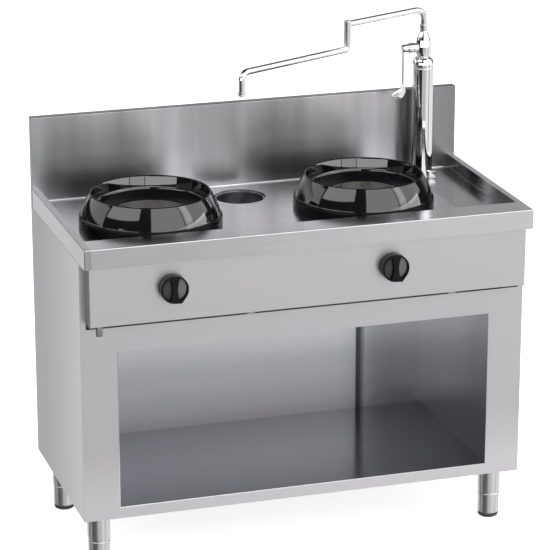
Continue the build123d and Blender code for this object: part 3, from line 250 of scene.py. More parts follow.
# %% [markdown]
# Some places on the sheet are painted darker or lighter, as light and shade. Beside the tap the sunk floor
# of the worktop is painted darker, as a reflection of the tap. The splashback shows upright streaks,
# painted reflections.
# Painted shade darkens a side panel towards the wall, and thin dark lines mark its joints, with painted
# shadow in the gaps. All of that follows from where a point is, in metres from the middle of the range's
# foot.


# %% Darker places on the steel
def beyond(source, start, end):
    """0 up to the start, and 1 from the end on."""
    return remap(source, 0, 1, start, end)


def short_of(source, start, end):
    """1 up to the start, and 0 from the end on."""
    return remap(source, 1, 0, start, end)


def dimmed(mask, tone):
    """1 outside a mask, and the tone inside it."""
    return remap(mask, 1, tone, 0, 1)


def worktop_painted_shade(place, colour):
    """Painted reflection and shade: darker on the sunk floor beside the tap, on the right inner wall and on
    the left rim.
    """
    across, depth, height = coordinates(place)
    behind_front_rim = beyond(depth, -0.24, -0.235)
    sunk = short_of(height, 0.868, 0.874)
    # painted reflection of the tap: the sunk floor beyond it is darker
    tap_painted_reflection = product(sunk, behind_front_rim, beyond(across, 0.452, 0.458))
    below_rim = short_of(height, 0.8985, 0.8995)
    wall_sides = beyond(across, 0.5812, 0.5818), short_of(across, 0.5835, 0.584)
    # painted shade on the right inner wall
    right_wall = product(below_rim, *wall_sides, behind_front_rim)
    # painted shade on the left rim
    left_rim = remap(across, 0.78, 1, -0.5825, -0.5815)
    return darken(colour, dimmed(tap_painted_reflection, 0.74), dimmed(right_wall, 0.3), left_rim)


def splash_painted_reflections(place, colour):
    """Painted reflections: broad upright streaks and a darker last stretch behind the tap; painted shade on
    the returned edge.
    """
    across = coordinates(place)[0]
    # painted reflections: soft upright streaks
    streaks = speckle(stretched(place, (9, 1, 0.5)), 1, 2)
    tap_end = remap(across, 1, 0.6, 0.44, 0.5)
    # painted shade on the returned left edge
    returned = remap(across, 0.45, 1, -0.5995, -0.599)
    return darken(colour, remap(streaks, 0.7, 1.1), tap_end, returned)


def side_shading(place, colour):
    """Painted shade: darker towards the wall, with dark lines of painted shadow along the top and the front
    edge.
    """
    _, depth, height = coordinates(place)
    towards_wall = remap(depth, 1, 0.6, -0.24, 0.2)
    top = remap(height, 1, 0.25, 0.8462, 0.8466)
    front = remap(depth, 0.3, 1, -0.2288, -0.2284)
    return darken(colour, towards_wall, top, front)


panel_low, panel_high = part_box("control_panel")


def under_panel(place, colour):
    """A narrow painted shadow lies on the frame under the control panel, which stands proud of it, and
    painted light makes the frame lighter near the floor.
    """
    across, _, height = coordinates(place)
    above = beyond(height, panel_low.z - 0.0195, panel_low.z - 0.0185)
    past_left = beyond(across, panel_low.x, panel_low.x + 0.0005)
    before_right = short_of(across, panel_high.x - 0.0005, panel_high.x)
    shadow = product(above, past_left, before_right)
    # painted light: the frame is lighter near the floor
    low = remap(height, 1.24, 1, 0.2, 0.34)
    return darken(colour, dimmed(shadow, 0.08), low)


def panel_end(place, colour):
    """Painted shade: the panel's left end is darker, as it faces the dark side of the room."""
    across = coordinates(place)[0]
    return darken(colour, remap(across, 0.5, 1, panel_low.x + 0.0002, panel_low.x + 0.0008))


def back_painted_reflection(place, colour):
    """Painted reflection on the compartment's back: a dark upright line and a far lighter stretch to its
    right; painted shade near its foot.
    """
    across, _, height = coordinates(place)
    # painted reflection: a dark upright line, and the back far lighter to its right
    dark_line = remap(across, 1, 0.16, 0.311, 0.314)
    lighter_right = remap(across, 1, 7, 0.324, 0.342)
    # painted shade: darker near the shelf
    low = remap(height, 0.6, 1, 0.17, 0.3)
    return darken(colour, dark_line, lighter_right, low)


def wall_painted_shade(place, colour):
    """Painted shade: a side wall of the compartment is darker near its floor, and painted light makes it
    lighter higher up.
    """
    height = coordinates(place)[2]
    return darken(colour, remap(height, 0.6, 1.15, 0.2, 0.6))


print("darker places ready")

# %% [markdown]
# One table holds every sheet's finish; the tints in it are painted light and shade, one steel made lighter
# or darker sheet by sheet. A satin sheet shows no lines: where they would be finer than the picture can
# show, an even roughness looks the same and stays clean.

# %% Mix the steel finishes
satin = 0
front_tints = (0.49, 0.49, 0.508), (0.507, 0.492, 0.507)
# Painted light and shade: the sheets are one steel, each tinted lighter or darker as it is lit; the shelf
# is painted nearly black as shade.
steels = {
    # name: cool tint, warm tint, roughness, stretch of the highlight, places painted darker or lighter,
    # lines
    "worktop_steel": ((0.62, 0.62, 0.645), (0.645, 0.625, 0.645), 0.17, 0.45, worktop_painted_shade),
    "front_steel": (*front_tints, 0.36, 0.5, under_panel, satin),
    "panel_steel": (*front_tints, 0.36, 0.5, panel_end, satin),
    "side_steel": ((0.6, 0.61, 0.63), (0.63, 0.61, 0.635), 0.32, 0.5, side_shading, satin),
    "splash_steel": ((0.46, 0.465, 0.48), (0.49, 0.475, 0.49), 0.24, 0.75, splash_painted_reflections, satin),
    "back_steel": ((0.7, 0.71, 0.74), (0.73, 0.71, 0.74), 0.22, 0.5, back_painted_reflection, satin),
    "wall_steel": ((0.78, 0.79, 0.82), (0.8, 0.79, 0.82), 0.26, 0.5, wall_painted_shade, satin),
    "shelf_steel": ((0.1, 0.104, 0.12), (0.11, 0.108, 0.12), 0.16, 0.4),
    "hidden_steel": ((0.42, 0.42, 0.44), (0.46, 0.45, 0.45), 0.32, 0.4),
    "bracket_steel": ((0.22, 0.22, 0.23), (0.26, 0.25, 0.26), 0.4, 0.3),
    "leg_steel": ((0.7, 0.7, 0.71), (0.74, 0.73, 0.73), 0.28, 0.3, None, satin),
}
finishes = {name: brushed_steel(name, *recipe) for name, recipe in steels.items()}
print("steel finishes:", len(finishes))

# %% [markdown]
# ## Chrome, enamel and the rest
# Chrome is a mirror with faint water marks. The rings' enamel is glass over iron: black and very
# smooth, with the slight waviness of a fired coat, and burnt dull on its foot, its lip and its
# inside. Inside sit brass, cast iron and plated steel. Each gets its own small pattern.


# %% Mix the other finishes
def plain_finish(name, values, light, dark, scale, rough, bump):
    """A finish whose colour, roughness and height drift with one noise."""
    material, tree, shader = finish(name, values)
    place = object_place(tree)
    pattern = speckle(place, scale, 3)
    colour = blend_colour(remap(pattern, 0, 1), (*dark, 1), (*light, 1))
    fill(shader, {"Base Color": colour, "Roughness": remap(pattern, *rough)})
    strength, distance, finer = bump
    roughen(shader, speckle(place, scale * finer, 3), strength, distance)
    return material


metal = {"Metallic": 1}
enamel_tints = (0.004, 0.004, 0.0045), (0.0025, 0.0025, 0.003)
recipes = {
    # name: shader values, light tint, dark tint, spots, roughness range, bump strength, depth, fineness
    "chrome": (metal, (0.9, 0.9, 0.91), (0.85, 0.85, 0.87), 30, (0.03, 0.06), (0.02, 0.0002, 3)),
    "black_enamel": ({"IOR": 1.9}, *enamel_tints, 25, (0.02, 0.04), (0.03, 0.0006, 2)),
    "burnt_enamel": ({"IOR": 1.18}, *enamel_tints, 25, (0.2, 0.3), (0.05, 0.0006, 2)),
    # painted light: the burner chamber's steel is nearly white, so it shows bright deep in the ring's
    # throat
    "chamber_steel": (metal, (0.97, 0.96, 0.95), (0.9, 0.89, 0.88), 45, (0.25, 0.35), (0.04, 0.0001, 8)),
    "pad_rubber": ({}, (0.03, 0.03, 0.03), (0.015, 0.015, 0.015), 90, (0.5, 0.7), (0.2, 0.0002, 6)),
    "cast_iron": (
        {"Metallic": 0.7}, (0.11, 0.105, 0.1), (0.05, 0.05, 0.05), 60, (0.5, 0.75), (0.35, 0.0006, 6),
    ),
    "valve_brass": (metal, (0.75, 0.56, 0.25), (0.6, 0.43, 0.2), 35, (0.22, 0.4), (0.1, 0.0002, 5)),
    "pipe_steel": (metal, (0.5, 0.5, 0.51), (0.38, 0.38, 0.4), 22, (0.25, 0.42), (0.1, 0.0002, 8)),
    "plated_steel": (metal, (0.62, 0.62, 0.6), (0.5, 0.5, 0.5), 45, (0.2, 0.35), (0.08, 0.0001, 8)),
    "strainer_steel": (metal, (0.42, 0.42, 0.44), (0.3, 0.3, 0.32), 40, (0.25, 0.4), (0.1, 0.0002, 6)),
    # lighter than the sheets: polished edges, and a painted highlight along them
    "polished_edge": (metal, (0.92, 0.92, 0.93), (0.86, 0.86, 0.88), 30, (0.12, 0.2), (0.02, 0.0001, 4)),
}
for name, recipe in recipes.items():
    finishes[name] = plain_finish(name, *recipe)
print("finishes:", len(finishes))

# %% [markdown]
# The knobs are moulded in black plastic with a fine texture. The hollow that is scooped out on
# each side of a knob's grip is painted grey, a painted sheen, and lighter on its right side, painted light
# against the grip's shadow.

# %% Mix the knobs' plastic
plastic_black, plastic_grey = (0.003, 0.003, 0.003, 1), (0.15, 0.155, 0.148, 1)
knob_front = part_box("knob_left")[0].y
left_middle, right_middle = (round_solid(name)[0][0] for name in ("knob_left", "knob_right"))
finishes["knob_plastic"], tree, shader = finish("knob_plastic", {"Specular IOR Level": 0.12})
place = object_place(tree)
across, depth, _ = coordinates(place)
in_scoop = beyond(depth, knob_front + 0.012, knob_front + 0.0155)
before_back = short_of(depth, knob_front + 0.0165, knob_front + 0.0175)
past_left = calculate("GREATER_THAN", across, left_middle)
near_left = calculate("LESS_THAN", across, left_middle + 0.05)
past_right = calculate("GREATER_THAN", across, right_middle)
right_half = calculate("MAXIMUM", product(past_left, near_left), past_right)
# painted sheen: the scoops are grey as the light they catch, lighter on the right half against the grip's
# shadow
scoop_sheen = product(product(in_scoop, before_back), remap(right_half, 0.3, 1))
texture = speckle(place, 900, 3)
scoop_sheen_colour = blend_colour(scoop_sheen, plastic_black, plastic_grey)
fill(shader, {"Base Color": scoop_sheen_colour, "Roughness": remap(texture, 0.35, 0.45)})
roughen(shader, texture, 0.04, 0.0001)
print("knob middles:", round(left_middle, 3), round(right_middle, 3))

# %% [markdown]
# ## Finishes on the solids
# Where a solid already has the right shape it only needs its finish. A list of which nodes take
# which finish is easier to check than a line for each.


# %% Give the solids their finishes
def starting(*starts):
    """The solids whose names start in one of these ways."""
    return [name for name in nodes if name.startswith(starts)]


wearing = {
    "worktop_steel": ["worktop"],
    "splash_steel": ["splashback"],
    "side_steel": ["left_side_panel", "right_side_panel"],
    "front_steel": ["front_frame"],
    "panel_steel": ["control_panel"],
    "shelf_steel": ["base_shelf"],
    "back_steel": ["compartment_back_wall"],
    "wall_steel": ["compartment_left_wall", "compartment_right_wall", "compartment_ceiling"],
    "hidden_steel": ["rear_panel", "manifold_brackets", "leg_plates", "drain_bowl", "drain_outlet"],
    "pipe_steel": ["gas_manifold", "gas_supply_pipe", "burner_feed_pipes", "water_supply_pipe"],
    "cast_iron": starting("burner_body_", "burner_crown_"),
    "valve_brass": starting("burner_injectors", "gas_valve_", "gas_inlet_fitting", "tap_locknut"),
    "plated_steel": starting("spindle_", "spring_seat_", "rear_panel_screws", "pilot_", "flame_sensors"),
    "chamber_steel": starting("burner_chamber_"),
    "leg_steel": starting("leg_tubes", "foot_stem_"),
    "pad_rubber": starting("foot_pad_"),
    "bracket_steel": ["panel_tab"],
    "black_enamel": starting("wok_ring_"),
    "knob_plastic": starting("knob_"),
    "strainer_steel": ["strainer_basket"],
    "chrome": [name for name in starting("tap_") if name != "tap_locknut"],
}
for coat, names in wearing.items():
    for name in names:
        nodes[name].data.materials.clear()
        nodes[name].data.materials.append(finishes[coat])
dressed = {name for names in wearing.values() for name in names}
print("without a finish:", sorted(set(nodes) - dressed))

# %% [markdown]
# ## Tools for making pieces
# Most small parts of the range are turned on a lathe, so a tool that spins an outline round an
# axis makes them all. Real corners are never perfectly sharp: a second tool rounds the corners
# of an outline, and the rounded edge is what catches the light.


# %% Rounding and turning
def rounded(outline, radius, steps=4, closed=True):
    """The same outline with every corner rounded, as far as its sides allow."""
    points = [Vector(p) for p in outline]
    made = []
    count = len(points)
    for i, corner in enumerate(points):
        if not closed and i in (0, count - 1):
            made.append(corner)
            continue
        before, after = points[i - 1], points[(i + 1) % count]
        reach = min(radius, (before - corner).length * 0.45, (after - corner).length * 0.45)
        start = corner + (before - corner).normalized() * reach
        end = corner + (after - corner).normalized() * reach
        for k in range(steps + 1):
            t = k / steps
            made.append(start * (1 - t) ** 2 + corner * 2 * t * (1 - t) + end * t * t)
    return [tuple(p) for p in made]


def held(outline, near=0.0002, longest=0.012, closed=True):
    """The outline with a point close to each end of a long run, so that the run shades flat."""
    made = []
    for i, start in enumerate(outline):
        made.append(start)
        if not closed and i == len(outline) - 1:
            break
        run = Vector(outline[(i + 1) % len(outline)]) - Vector(start)
        if run.length > longest:
            step = run.normalized() * near
            made += [tuple(Vector(start) + step), tuple(Vector(start) + run - step)]
    return made


def circle(radius, steps):
    """Points at even steps round a circle."""
    turns = [math.tau * k / steps for k in range(steps)]
    return [(radius * math.cos(turn), radius * math.sin(turn)) for turn in turns]


def band(low, high):
    """The four-sided faces between two closed loops of equally many points."""
    count = len(low)
    return [[low[k], low[(k + 1) % count], high[(k + 1) % count], high[k]] for k in range(count)]


def spun(outline, centre, steps=96, closed=True):
    """Points and faces of an outline of (radius, height) spun round an upright axis."""
    points, faces, rows = [], [], []
    outline = held(outline, closed=closed)
    for radius, height in outline:
        if radius < 1e-7:
            rows.append([len(points)] * steps)
            points.append((centre[0], centre[1], height))
            continue
        rows.append(list(range(len(points), len(points) + steps)))
        points += [(centre[0] + x, centre[1] + y, height) for x, y in circle(radius, steps)]
    pairs = list(zip(rows, rows[1:])) + ([(rows[-1], rows[0])] if closed else [])
    for low, high in pairs:
        faces += [list(dict.fromkeys(face)) for face in band(low, high)]
    return points, [face for face in faces if len(face) > 2]


def combined(*parts):
    """Several sets of points and faces as one."""
    points, faces = [], []
    for part_points, part_faces in parts:
        shift = len(points)
        points += part_points
        faces += [[i + shift for i in face] for face in part_faces]
    return points, faces


def part_from(mesh, shift=(0, 0, 0)):
    """A mesh as points and faces, moved by a shift."""
    points = [tuple(v.co + Vector(shift)) for v in mesh.vertices]
    faces = [list(p.vertices) for p in mesh.polygons]
    bpy.data.meshes.remove(mesh)
    return points, faces


def laid_down(part, origin):
    """A part turned so that its upright axis points to the left."""
    turn = Vector((0, 0, 1)).rotation_difference(Vector((-1, 0, 0)))
    return [tuple(turn @ Vector(p) + Vector(origin)) for p in part[0]], part[1]


def shifted(outline, outwards, upwards):
    """An outline moved away from the axis and up."""
    return [(radius + outwards, height + upwards) for radius, height in outline]


def turned(outline, centre, steps, soft=0, corner_steps=2, closed=False):
    """Turned work from an outline in millimetres, with its corners rounded if they are soft."""
    if soft:
        outline = rounded(outline, soft, corner_steps, closed)
    return spun([tuple(v / 1000 for v in point) for point in outline], centre, steps, closed)


print("lathe ready")

# %% [markdown]
# A shape becomes a piece of the range when it has a finish, rides on the body that it moves with
# and, where it is finer work in the place of a solid, replaces that solid.


# %% Making pieces
def adopt(name, mesh, coat, body, replaced=(), sharp=35):
    """A finished object from a mesh, riding on its body."""
    mesh.shade_smooth()
    mesh.set_sharp_from_angle(angle=math.radians(sharp))
    mesh.materials.clear()
    mesh.materials.append(finishes[coat])
    made = placed(name, mesh)
    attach(made, body)
    if replaced:
        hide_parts(*replaced)
    print(name, len(mesh.polygons), "faces")
    return made


def piece(name, part, coat, body, replaced=(), sharp=35):
    """A finished object from points and faces, riding on its body."""
    mesh = bpy.data.meshes.new(name)
    mesh.from_pydata(part[0], [], part[1])
    tidy = bmesh.new()
    tidy.from_mesh(mesh)
    bmesh.ops.remove_doubles(tidy, verts=tidy.verts, dist=1e-6)
    bmesh.ops.recalc_face_normals(tidy, faces=tidy.faces)
    tidy.to_mesh(mesh)
    tidy.free()
    return adopt(name, mesh, coat, body, replaced, sharp)


print("pieces can be made")

# %% [markdown]
# ## The wok rings
# A ring stands on a short upright band, narrows in a slightly bulging wall, rolls over at the
# lip and falls inside to the throat above the burner. One outline gives all of that. The bulge
# matters: it makes the black enamel show the studio at several heights at once.

# %% Turn the two wok rings
ring_foot, ring_floor, ring_top = round_solid("wok_ring_left")[1:]


def at_foot(*points):
    """Points given inwards and upwards from the ring's outer foot."""
    return [(ring_foot - inwards, ring_floor + up) for inwards, up in points]


def at_lip(*points):
    """Points given inwards from the ring's foot and downwards from its lip."""
    return [(ring_foot - inwards, ring_top - down) for inwards, down in points]


def bulge(start, control, end, steps=24):
    """Points along a bent wall."""
    made = []
    for k in range(steps + 1):
        t = k / steps
        corners = zip(start, control, end)
        made.append(tuple(a * (1 - t) ** 2 + b * 2 * t * (1 - t) + c * t * t for a, b, c in corners))
    return made


throat = (42, 37.5), (76, 47.5), (88, 51), (88, 55.5), (76, 52.5)
ring_outline = (
    rounded(at_foot((4.5, 0), (0, 0), (0, 23), (5, 29)), 3, 4, closed=False)
    + bulge(*at_foot((5, 29), (13.5, 60)), *at_lip((29, 2)))
    + rounded(at_lip((29.5, 1), (31, 0), (33, 1)), 1, 3, closed=False)
    + bulge(*at_lip((33.5, 2.5), (37.2, 19), (39.6, 33)), 8)
    + rounded(at_lip(*throat), 1.6, 4, closed=False)
    + bulge(*at_lip((38, 44)), *at_foot((17, 50), (13, 24)), 8)
    + at_foot((4.5, 20))
)
for side in ("left", "right"):
    centre = round_solid("wok_ring_" + side)[0]
    part, body, solid = turned(ring_outline, centre, 192, closed=True), "ring_" + side, "wok_ring_" + side
    ring = piece("enamelled_ring_" + side, part, "black_enamel", body, [solid], 50)
    ring.data.materials.append(finishes["burnt_enamel"])
    for face in ring.data.polygons:
        height = face.center.z * 1000
        radius = math.hypot(face.center.x - centre[0], face.center.y - centre[1]) * 1000
        glossy = ring_floor + 30 < height < ring_top - 1.8 and radius > ring_foot - 41
        face.material_index = 0 if glossy else 1

# %% [markdown]
# ## Softening a solid
# Some solids have the right form but knife-sharp edges. A copy is merged into one skin, its
# flat triangles are joined into whole faces, and a narrow bevel rounds every edge. The copy
# then stands for the solid.


# %% Copies with rounded edges
def settle(host):
    """Turns the host's modifiers into a plain mesh and takes the host away."""
    graph = bpy.context.evaluated_depsgraph_get()
    mesh = bpy.data.meshes.new_from_object(host.evaluated_get(graph))
    host.modifiers.clear()
    bpy.data.objects.remove(host)
    return mesh


def softened(node, width, coat, body, segments=2):
    """A copy of a solid with every sharp edge rounded."""
    mesh = nodes[node].data.copy()
    tidy = bmesh.new()
    tidy.from_mesh(mesh)
    bmesh.ops.remove_doubles(tidy, verts=tidy.verts, dist=2e-6)
    bmesh.ops.dissolve_limit(
        tidy, angle_limit=math.radians(1), verts=tidy.verts, edges=tidy.edges, delimit={"NORMAL"}
    )
    tidy.to_mesh(mesh)
    tidy.free()
    host = placed("host", mesh)
    bevel = host.modifiers.new("edges", "BEVEL")
    bevel.width = width
    bevel.segments = segments
    bevel.limit_method = "ANGLE"
    bevel.angle_limit = math.radians(40)
    bevel.use_clamp_overlap = True
    return adopt(node + "_soft", settle(host), coat, body, [node], 60)


right_knob = softened("knob_right", 0.0011, "knob_plastic", "knob_right", 3)
knob_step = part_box("knob_left")[0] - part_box("knob_right")[0]
left_knob_mesh = right_knob.data.copy()
left_knob_mesh.transform(Matrix.Translation(knob_step))
adopt("knob_left_soft", left_knob_mesh, "knob_plastic", "knob_left", ["knob_left"], 60)
softened("tap_base_block", 0.0008, "chrome", "range")
softened("panel_tab", 0.0008, "bracket_steel", "range")

# %% [markdown]
# ## The tap's column and valve
# The column is a wide tube with a shoulder and a thin groove below it. On it sits a bell that
# holds the valve, with a collar for the swivelling arm and a stub for the lever. All of it is
# turned work, so each part is one outline.

# %% Turn the column and the bell
tap_centre, column_radius, column_foot, column_top = round_solid("tap_column")
column_outline = [(0, ring_floor), (column_radius, ring_floor)]
column_outline += shifted(
    [
        (0, -30.6), (-0.9, -30), (-0.9, -28.8), (0, -28.2), (0, -19), (-0.6, -14.5),
        (-2.2, -9.8), (-4.9, -5.6), (-9, -2), (-14, 0), (-column_radius, 0),
    ],
    column_radius, column_top,
)
shank = [(0, column_foot), (10.4, column_foot), (10.4, ring_floor), (0, ring_floor)]
column = combined(turned(column_outline, tap_centre, 96, 0.4), turned(shank, tap_centre, 32))
piece("tap_column_polished", column, "chrome", "range", ["tap_column"], 40)

bell_top = round_solid("tap_valve_body")[3]
bell_outline = shifted(
    [
        (0, 0), (15, 0), (18.6, 2.2), (20.6, 6), (21.5, 11), (21.5, 21), (21.1, 29),
        (20.2, 37), (18.6, 46), (16.4, 54), (13.4, 62), (10.4, 69), (10.2, 74.6),
        (11, 75.4), (11, 88.2),
    ],
    0, column_top,
)
bell_outline += [(10.2, bell_top), (8.85, bell_top), (8.85, column_top + 60), (0, column_top + 60)]
stub_outline = [
    (0, 0), (12.2, 0), (12.2, 24), (13.7, 25), (13.7, 30), (12.6, 31), (12.6, 32),
    (13.7, 33), (13.7, 43), (12.9, 44), (5.2, 44), (5.2, 30), (0, 30),
]
stub_height = (column_top + 25) / 1000
stub = laid_down(turned(stub_outline, (0, 0), 48, 0.5), (*tap_centre, stub_height))
bell = combined(turned(bell_outline, tap_centre, 72, 0.8, 3), stub)
piece("tap_bell", bell, "chrome", "range", ["tap_valve_body"], 40)
print("tap centre", [round(v, 4) for v in tap_centre])

# %% [markdown]
# ## The lever
# A short hub turns on the stub, a thin stem hangs from it, and the hand pushes a leaf-shaped
# paddle at its end. The leaf is drawn as an outline with well rounded corners and is cushioned:
# its edge steps in near the two faces, as a forged and polished piece does.


# %% Shape the lever
def cushioned_leaf(outline, depth_middle, thickness, edge):
    """Points and faces of a flat leaf in an upright plane, with eased edges."""
    loop = rounded(outline, 0.009, 6)
    middle = (sum(p[0] for p in loop) / len(loop), sum(p[1] for p in loop) / len(loop))
    points, faces, rows = [], [], []
    for inset, depth in ((1, -0.5), (0.35, -0.42), (0, -0.2), (0, 0.2), (0.35, 0.42), (1, 0.5)):
        rows.append([])
        for x, z in loop:
            inward = Vector((middle[0] - x, middle[1] - z)).normalized() * edge * inset
            rows[-1].append(len(points))
            points.append((x + inward.x, depth_middle + depth * thickness, z + inward.y))
    for low, high in zip(rows, rows[1:]):
        faces += band(low, high)
    return points, faces + [rows[0], rows[-1]]


stub_length, hub_gap = 0.044, 0.0003
hub_outline = [
    (0, 0), (10.4, 0), (11, 0.8), (11, 3.4), (10.5, 3.9), (10.5, 4.5), (11, 5), (11, 13.5),
    (10.2, 16.4), (8.2, 18.3), (5, 19), (0, 19),
]
pin_outline = [(0, -14), (4.9, -14), (4.9, 0.2), (0, 0.2)]
hub_place = (tap_centre[0] - stub_length - hub_gap, tap_centre[1], stub_height)
hub = laid_down(turned(hub_outline, (0, 0), 48, 0.4), hub_place)
pin = laid_down(turned(pin_outline, (0, 0), 24), hub_place)
stem_x = hub_place[0] - 0.019 + 0.0055
neck = stub_height - 0.103
stem_outline = [(0, neck + 0.002), (0.0022, neck + 0.002), (0.0028, neck + 0.012)]
stem_outline += [(0.0028, stub_height), (0, stub_height)]
stem = spun(stem_outline, (stem_x, tap_centre[1]), 24, closed=False)
lever_low, lever_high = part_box("tap_lever")
width, length = 0.043, 0.037
right = lever_low.x + width
leaf_outline = [
    (stem_x - 0.0030, neck + 0.003),
    (stem_x + 0.0030, neck + 0.003),
    (right, neck - length * 0.42),
    (right - width * 0.12, neck - length * 0.74),
    (right - width * 0.3, neck - length),
    (lever_low.x + width * 0.08, neck - length * 0.93),
    (lever_low.x, neck - length * 0.72),
    (lever_low.x + width * 0.14, neck - length * 0.5),
    (stem_x - width * 0.1, neck - length * 0.14),
]
leaf = cushioned_leaf(leaf_outline, tap_centre[1], 0.0045, 0.0016)
lever = combined(hub, pin, stem, leaf)
piece("tap_lever_leaf", lever, "chrome", "lever", ["tap_lever"], 45)
print("lever", [round(v, 4) for v in lever_low], [round(v, 4) for v in lever_high])

# %% [markdown]
# ## The swivelling arms
# Each arm is a bent tube. A curve through the straight runs, with its corners turned into arcs,
# is given a round section and becomes a mesh. The sleeve at the elbow and the nozzle at the end
# are turned and joined to it.


# %% Bend the arms
def bent_tube(points, bend, radius, steps=14, sides=24):
    """Points and faces of a tube along straight runs with rounded corners."""
    path = rounded(points, bend, steps, closed=False)
    curve = bpy.data.curves.new("path", "CURVE")
    curve.dimensions = "3D"
    curve.bevel_depth = radius
    curve.bevel_resolution = sides // 4
    curve.use_fill_caps = True
    line = curve.splines.new("POLY")
    line.points.add(len(path) - 1)
    for point, place in zip(line.points, path):
        point.co = (*place, 1)
    part = part_from(settle(placed("host", curve)))
    bpy.data.curves.remove(curve)
    return part


joint = tuple(next(j for j in frame["joints"] if j["name"] == "outer_arm_swivel")["pos_m"][:2])
spout, _, tip, lip = round_solid("tap_nozzle")
tube_radius = 0.0088
inner_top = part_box("tap_inner_arm")[1].z
inner_height = inner_top - 0.010
sleeve_length = 0.062
sleeve_low, sleeve_high = (inner_top - sleeve_length) * 1000, inner_top * 1000
sleeve_outline = [
    (0, sleeve_low), (9.2, sleeve_low), (9.9, sleeve_low + 1), (9.9, sleeve_high - 2),
    (8.6, sleeve_high - 0.4), (6, sleeve_high), (0, sleeve_high),
]
inner_path = [(*tap_centre, bell_top / 1000 - 0.039), (*tap_centre, inner_height), (*joint, inner_height)]
inner_arm = combined(bent_tube(inner_path, 0.034, tube_radius), turned(sleeve_outline, joint, 48, 0.6))
piece("tap_inner_tube", inner_arm, "chrome", "inner_arm", ["tap_inner_arm"], 40)

outer_height = inner_height - 0.068
outer_path = [(*joint, inner_top - sleeve_length - 0.0003), (*joint, outer_height), (*spout, outer_height)]
outer_path.append((*spout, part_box("tap_nozzle")[1].z))
outer_arm = bent_tube(outer_path, 0.024, tube_radius)
piece("tap_outer_tube", outer_arm, "chrome", "outer_arm", ["tap_outer_arm"], 40)

nozzle_outline = [
    (8.6, tip + 0.6), (9.2, tip), (9.8, tip + 0.6), (9.8, tip + 3.2), (9.2, tip + 3.8), (9.2, tip + 4.4),
    (10, tip + 5), (10, lip - 0.5), (9.4, lip), (7.4, lip), (7.4, tip + 2.5), (8, tip + 1),
]
nozzle = turned(nozzle_outline, spout, 48, closed=True)
piece("tap_aerator", nozzle, "chrome", "outer_arm", ["tap_nozzle"], 40)
print("arm joint", [round(v, 4) for v in joint], "spout", [round(v, 4) for v in spout])

# %% [markdown]
# ## Parts that repeat: a tree of geometry nodes
# The strainer is pierced all over with square holes, so it is a lattice of thin strips. A node
# tree lays the strips of the floor side by side, each as long as the circle allows at its place,
# and stands the strips of the wall round the rim. Named sizes make the lattice finer or coarser.


# %% Helpers for geometry node trees
def new_tree(name, sizes):
    """A geometry node tree, its last node and the sockets of its mesh and its named sizes."""
    tree = bpy.data.node_groups.new(name, "GeometryNodeTree")
    tree.interface.new_socket(name="Geometry", in_out="INPUT", socket_type="NodeSocketGeometry")
    tree.interface.new_socket(name="Geometry", in_out="OUTPUT", socket_type="NodeSocketGeometry")
    for label, value in sizes.items():
        kind = "NodeSocketInt" if isinstance(value, int) else "NodeSocketFloat"
        tree.interface.new_socket(name=label, in_out="INPUT", socket_type=kind)
    begin, ending = tree.nodes.new("NodeGroupInput"), tree.nodes.new("NodeGroupOutput")
    return tree, ending, [begin.outputs[label] for label in ("Geometry", *sizes)]


def vector(tree, across=0, depth=0, height=0):
    """A vector socket from three numbers or sockets."""
    return add(tree, "ShaderNodeCombineXYZ", {0: across, 1: depth, 2: height}).outputs[0]


def copies(points, shape, values=None):
    """A copy of a shape on every point."""
    sockets = {"Points": points, "Instance": shape, **(values or {})}
    return add(points, "GeometryNodeInstanceOnPoints", sockets).outputs[0]


def swept(path, section):
    """A section swept along a path, closed at its ends."""
    values = {"Curve": path, "Profile Curve": section, "Fill Caps": True}
    return add(path, "GeometryNodeCurveToMesh", values).outputs[0]


def close_tree(pieces, coat, ending):
    """Joins the pieces, makes copies real, gives them their finish and ends the tree."""
    tree = ending.id_data
    gathered = add(tree, "GeometryNodeJoinGeometry")
    for geometry in pieces:
        tree.links.new(geometry, gathered.inputs[0])
    real = add(tree, "GeometryNodeRealizeInstances", {0: gathered.outputs[0]})
    values = {"Geometry": real.outputs[0], "Material": finishes[coat]}
    fill(ending, {0: add(tree, "GeometryNodeSetMaterial", values).outputs[0]})


def grown(name, tree, sizes, start=None):
    """The mesh that a tree makes from those sizes, starting from a mesh or from nothing."""
    host = placed("host", start or bpy.data.meshes.new("seed"))
    modifier = host.modifiers.new(name, "NODES")
    modifier.node_group = tree
    sockets = {s.name: s.identifier for s in tree.interface.items_tree if s.in_out == "INPUT"}
    for label, value in sizes.items():
        modifier[sockets[label]] = value
    mesh = settle(host)
    print(name, "grew", len(mesh.polygons), "faces from", sizes)
    return mesh


print("tree helpers ready")

# %% [markdown]
# The floor's strips: their number follows from the radius and the spacing, and the length of
# each is twice the root of the radius squared less its distance squared.

# %% Grow the strainer's floor
floor_sizes = {"Radius": 0.0625, "Spacing": 0.0050, "Strip width": 0.0021, "Strip height": 0.0012}
tree, ending, sockets = new_tree("strainer_floor", floor_sizes)
radius, spacing, strip_width, strip_height = sockets[1:]
reach = calculate("FLOOR", calculate("DIVIDE", radius, spacing))
row_start = product(product(reach, spacing), -1)
row = add(tree, "GeometryNodeMeshLine", {
    "Count": calculate("MULTIPLY_ADD", reach, 2, 1),
    "Start Location": vector(tree, depth=row_start),
    "Offset": vector(tree, depth=spacing),
})
here = coordinates(add(tree, "GeometryNodeInputPosition").outputs[0])[1]
gap = calculate("SUBTRACT", product(radius, radius), product(here, here))
chord = product(calculate("SQRT", gap), 2)
strip = add(tree, "GeometryNodeMeshCube", {"Size": (1, 1, 1)}).outputs[0]
strip_size = {"Scale": vector(tree, chord, strip_width, strip_height)}
lengthwise = copies(row.outputs[0], strip, strip_size)
quarter_turn = {"Rotation": (0, 0, math.pi / 2), "Translation": (0, 0, 0.0002)}
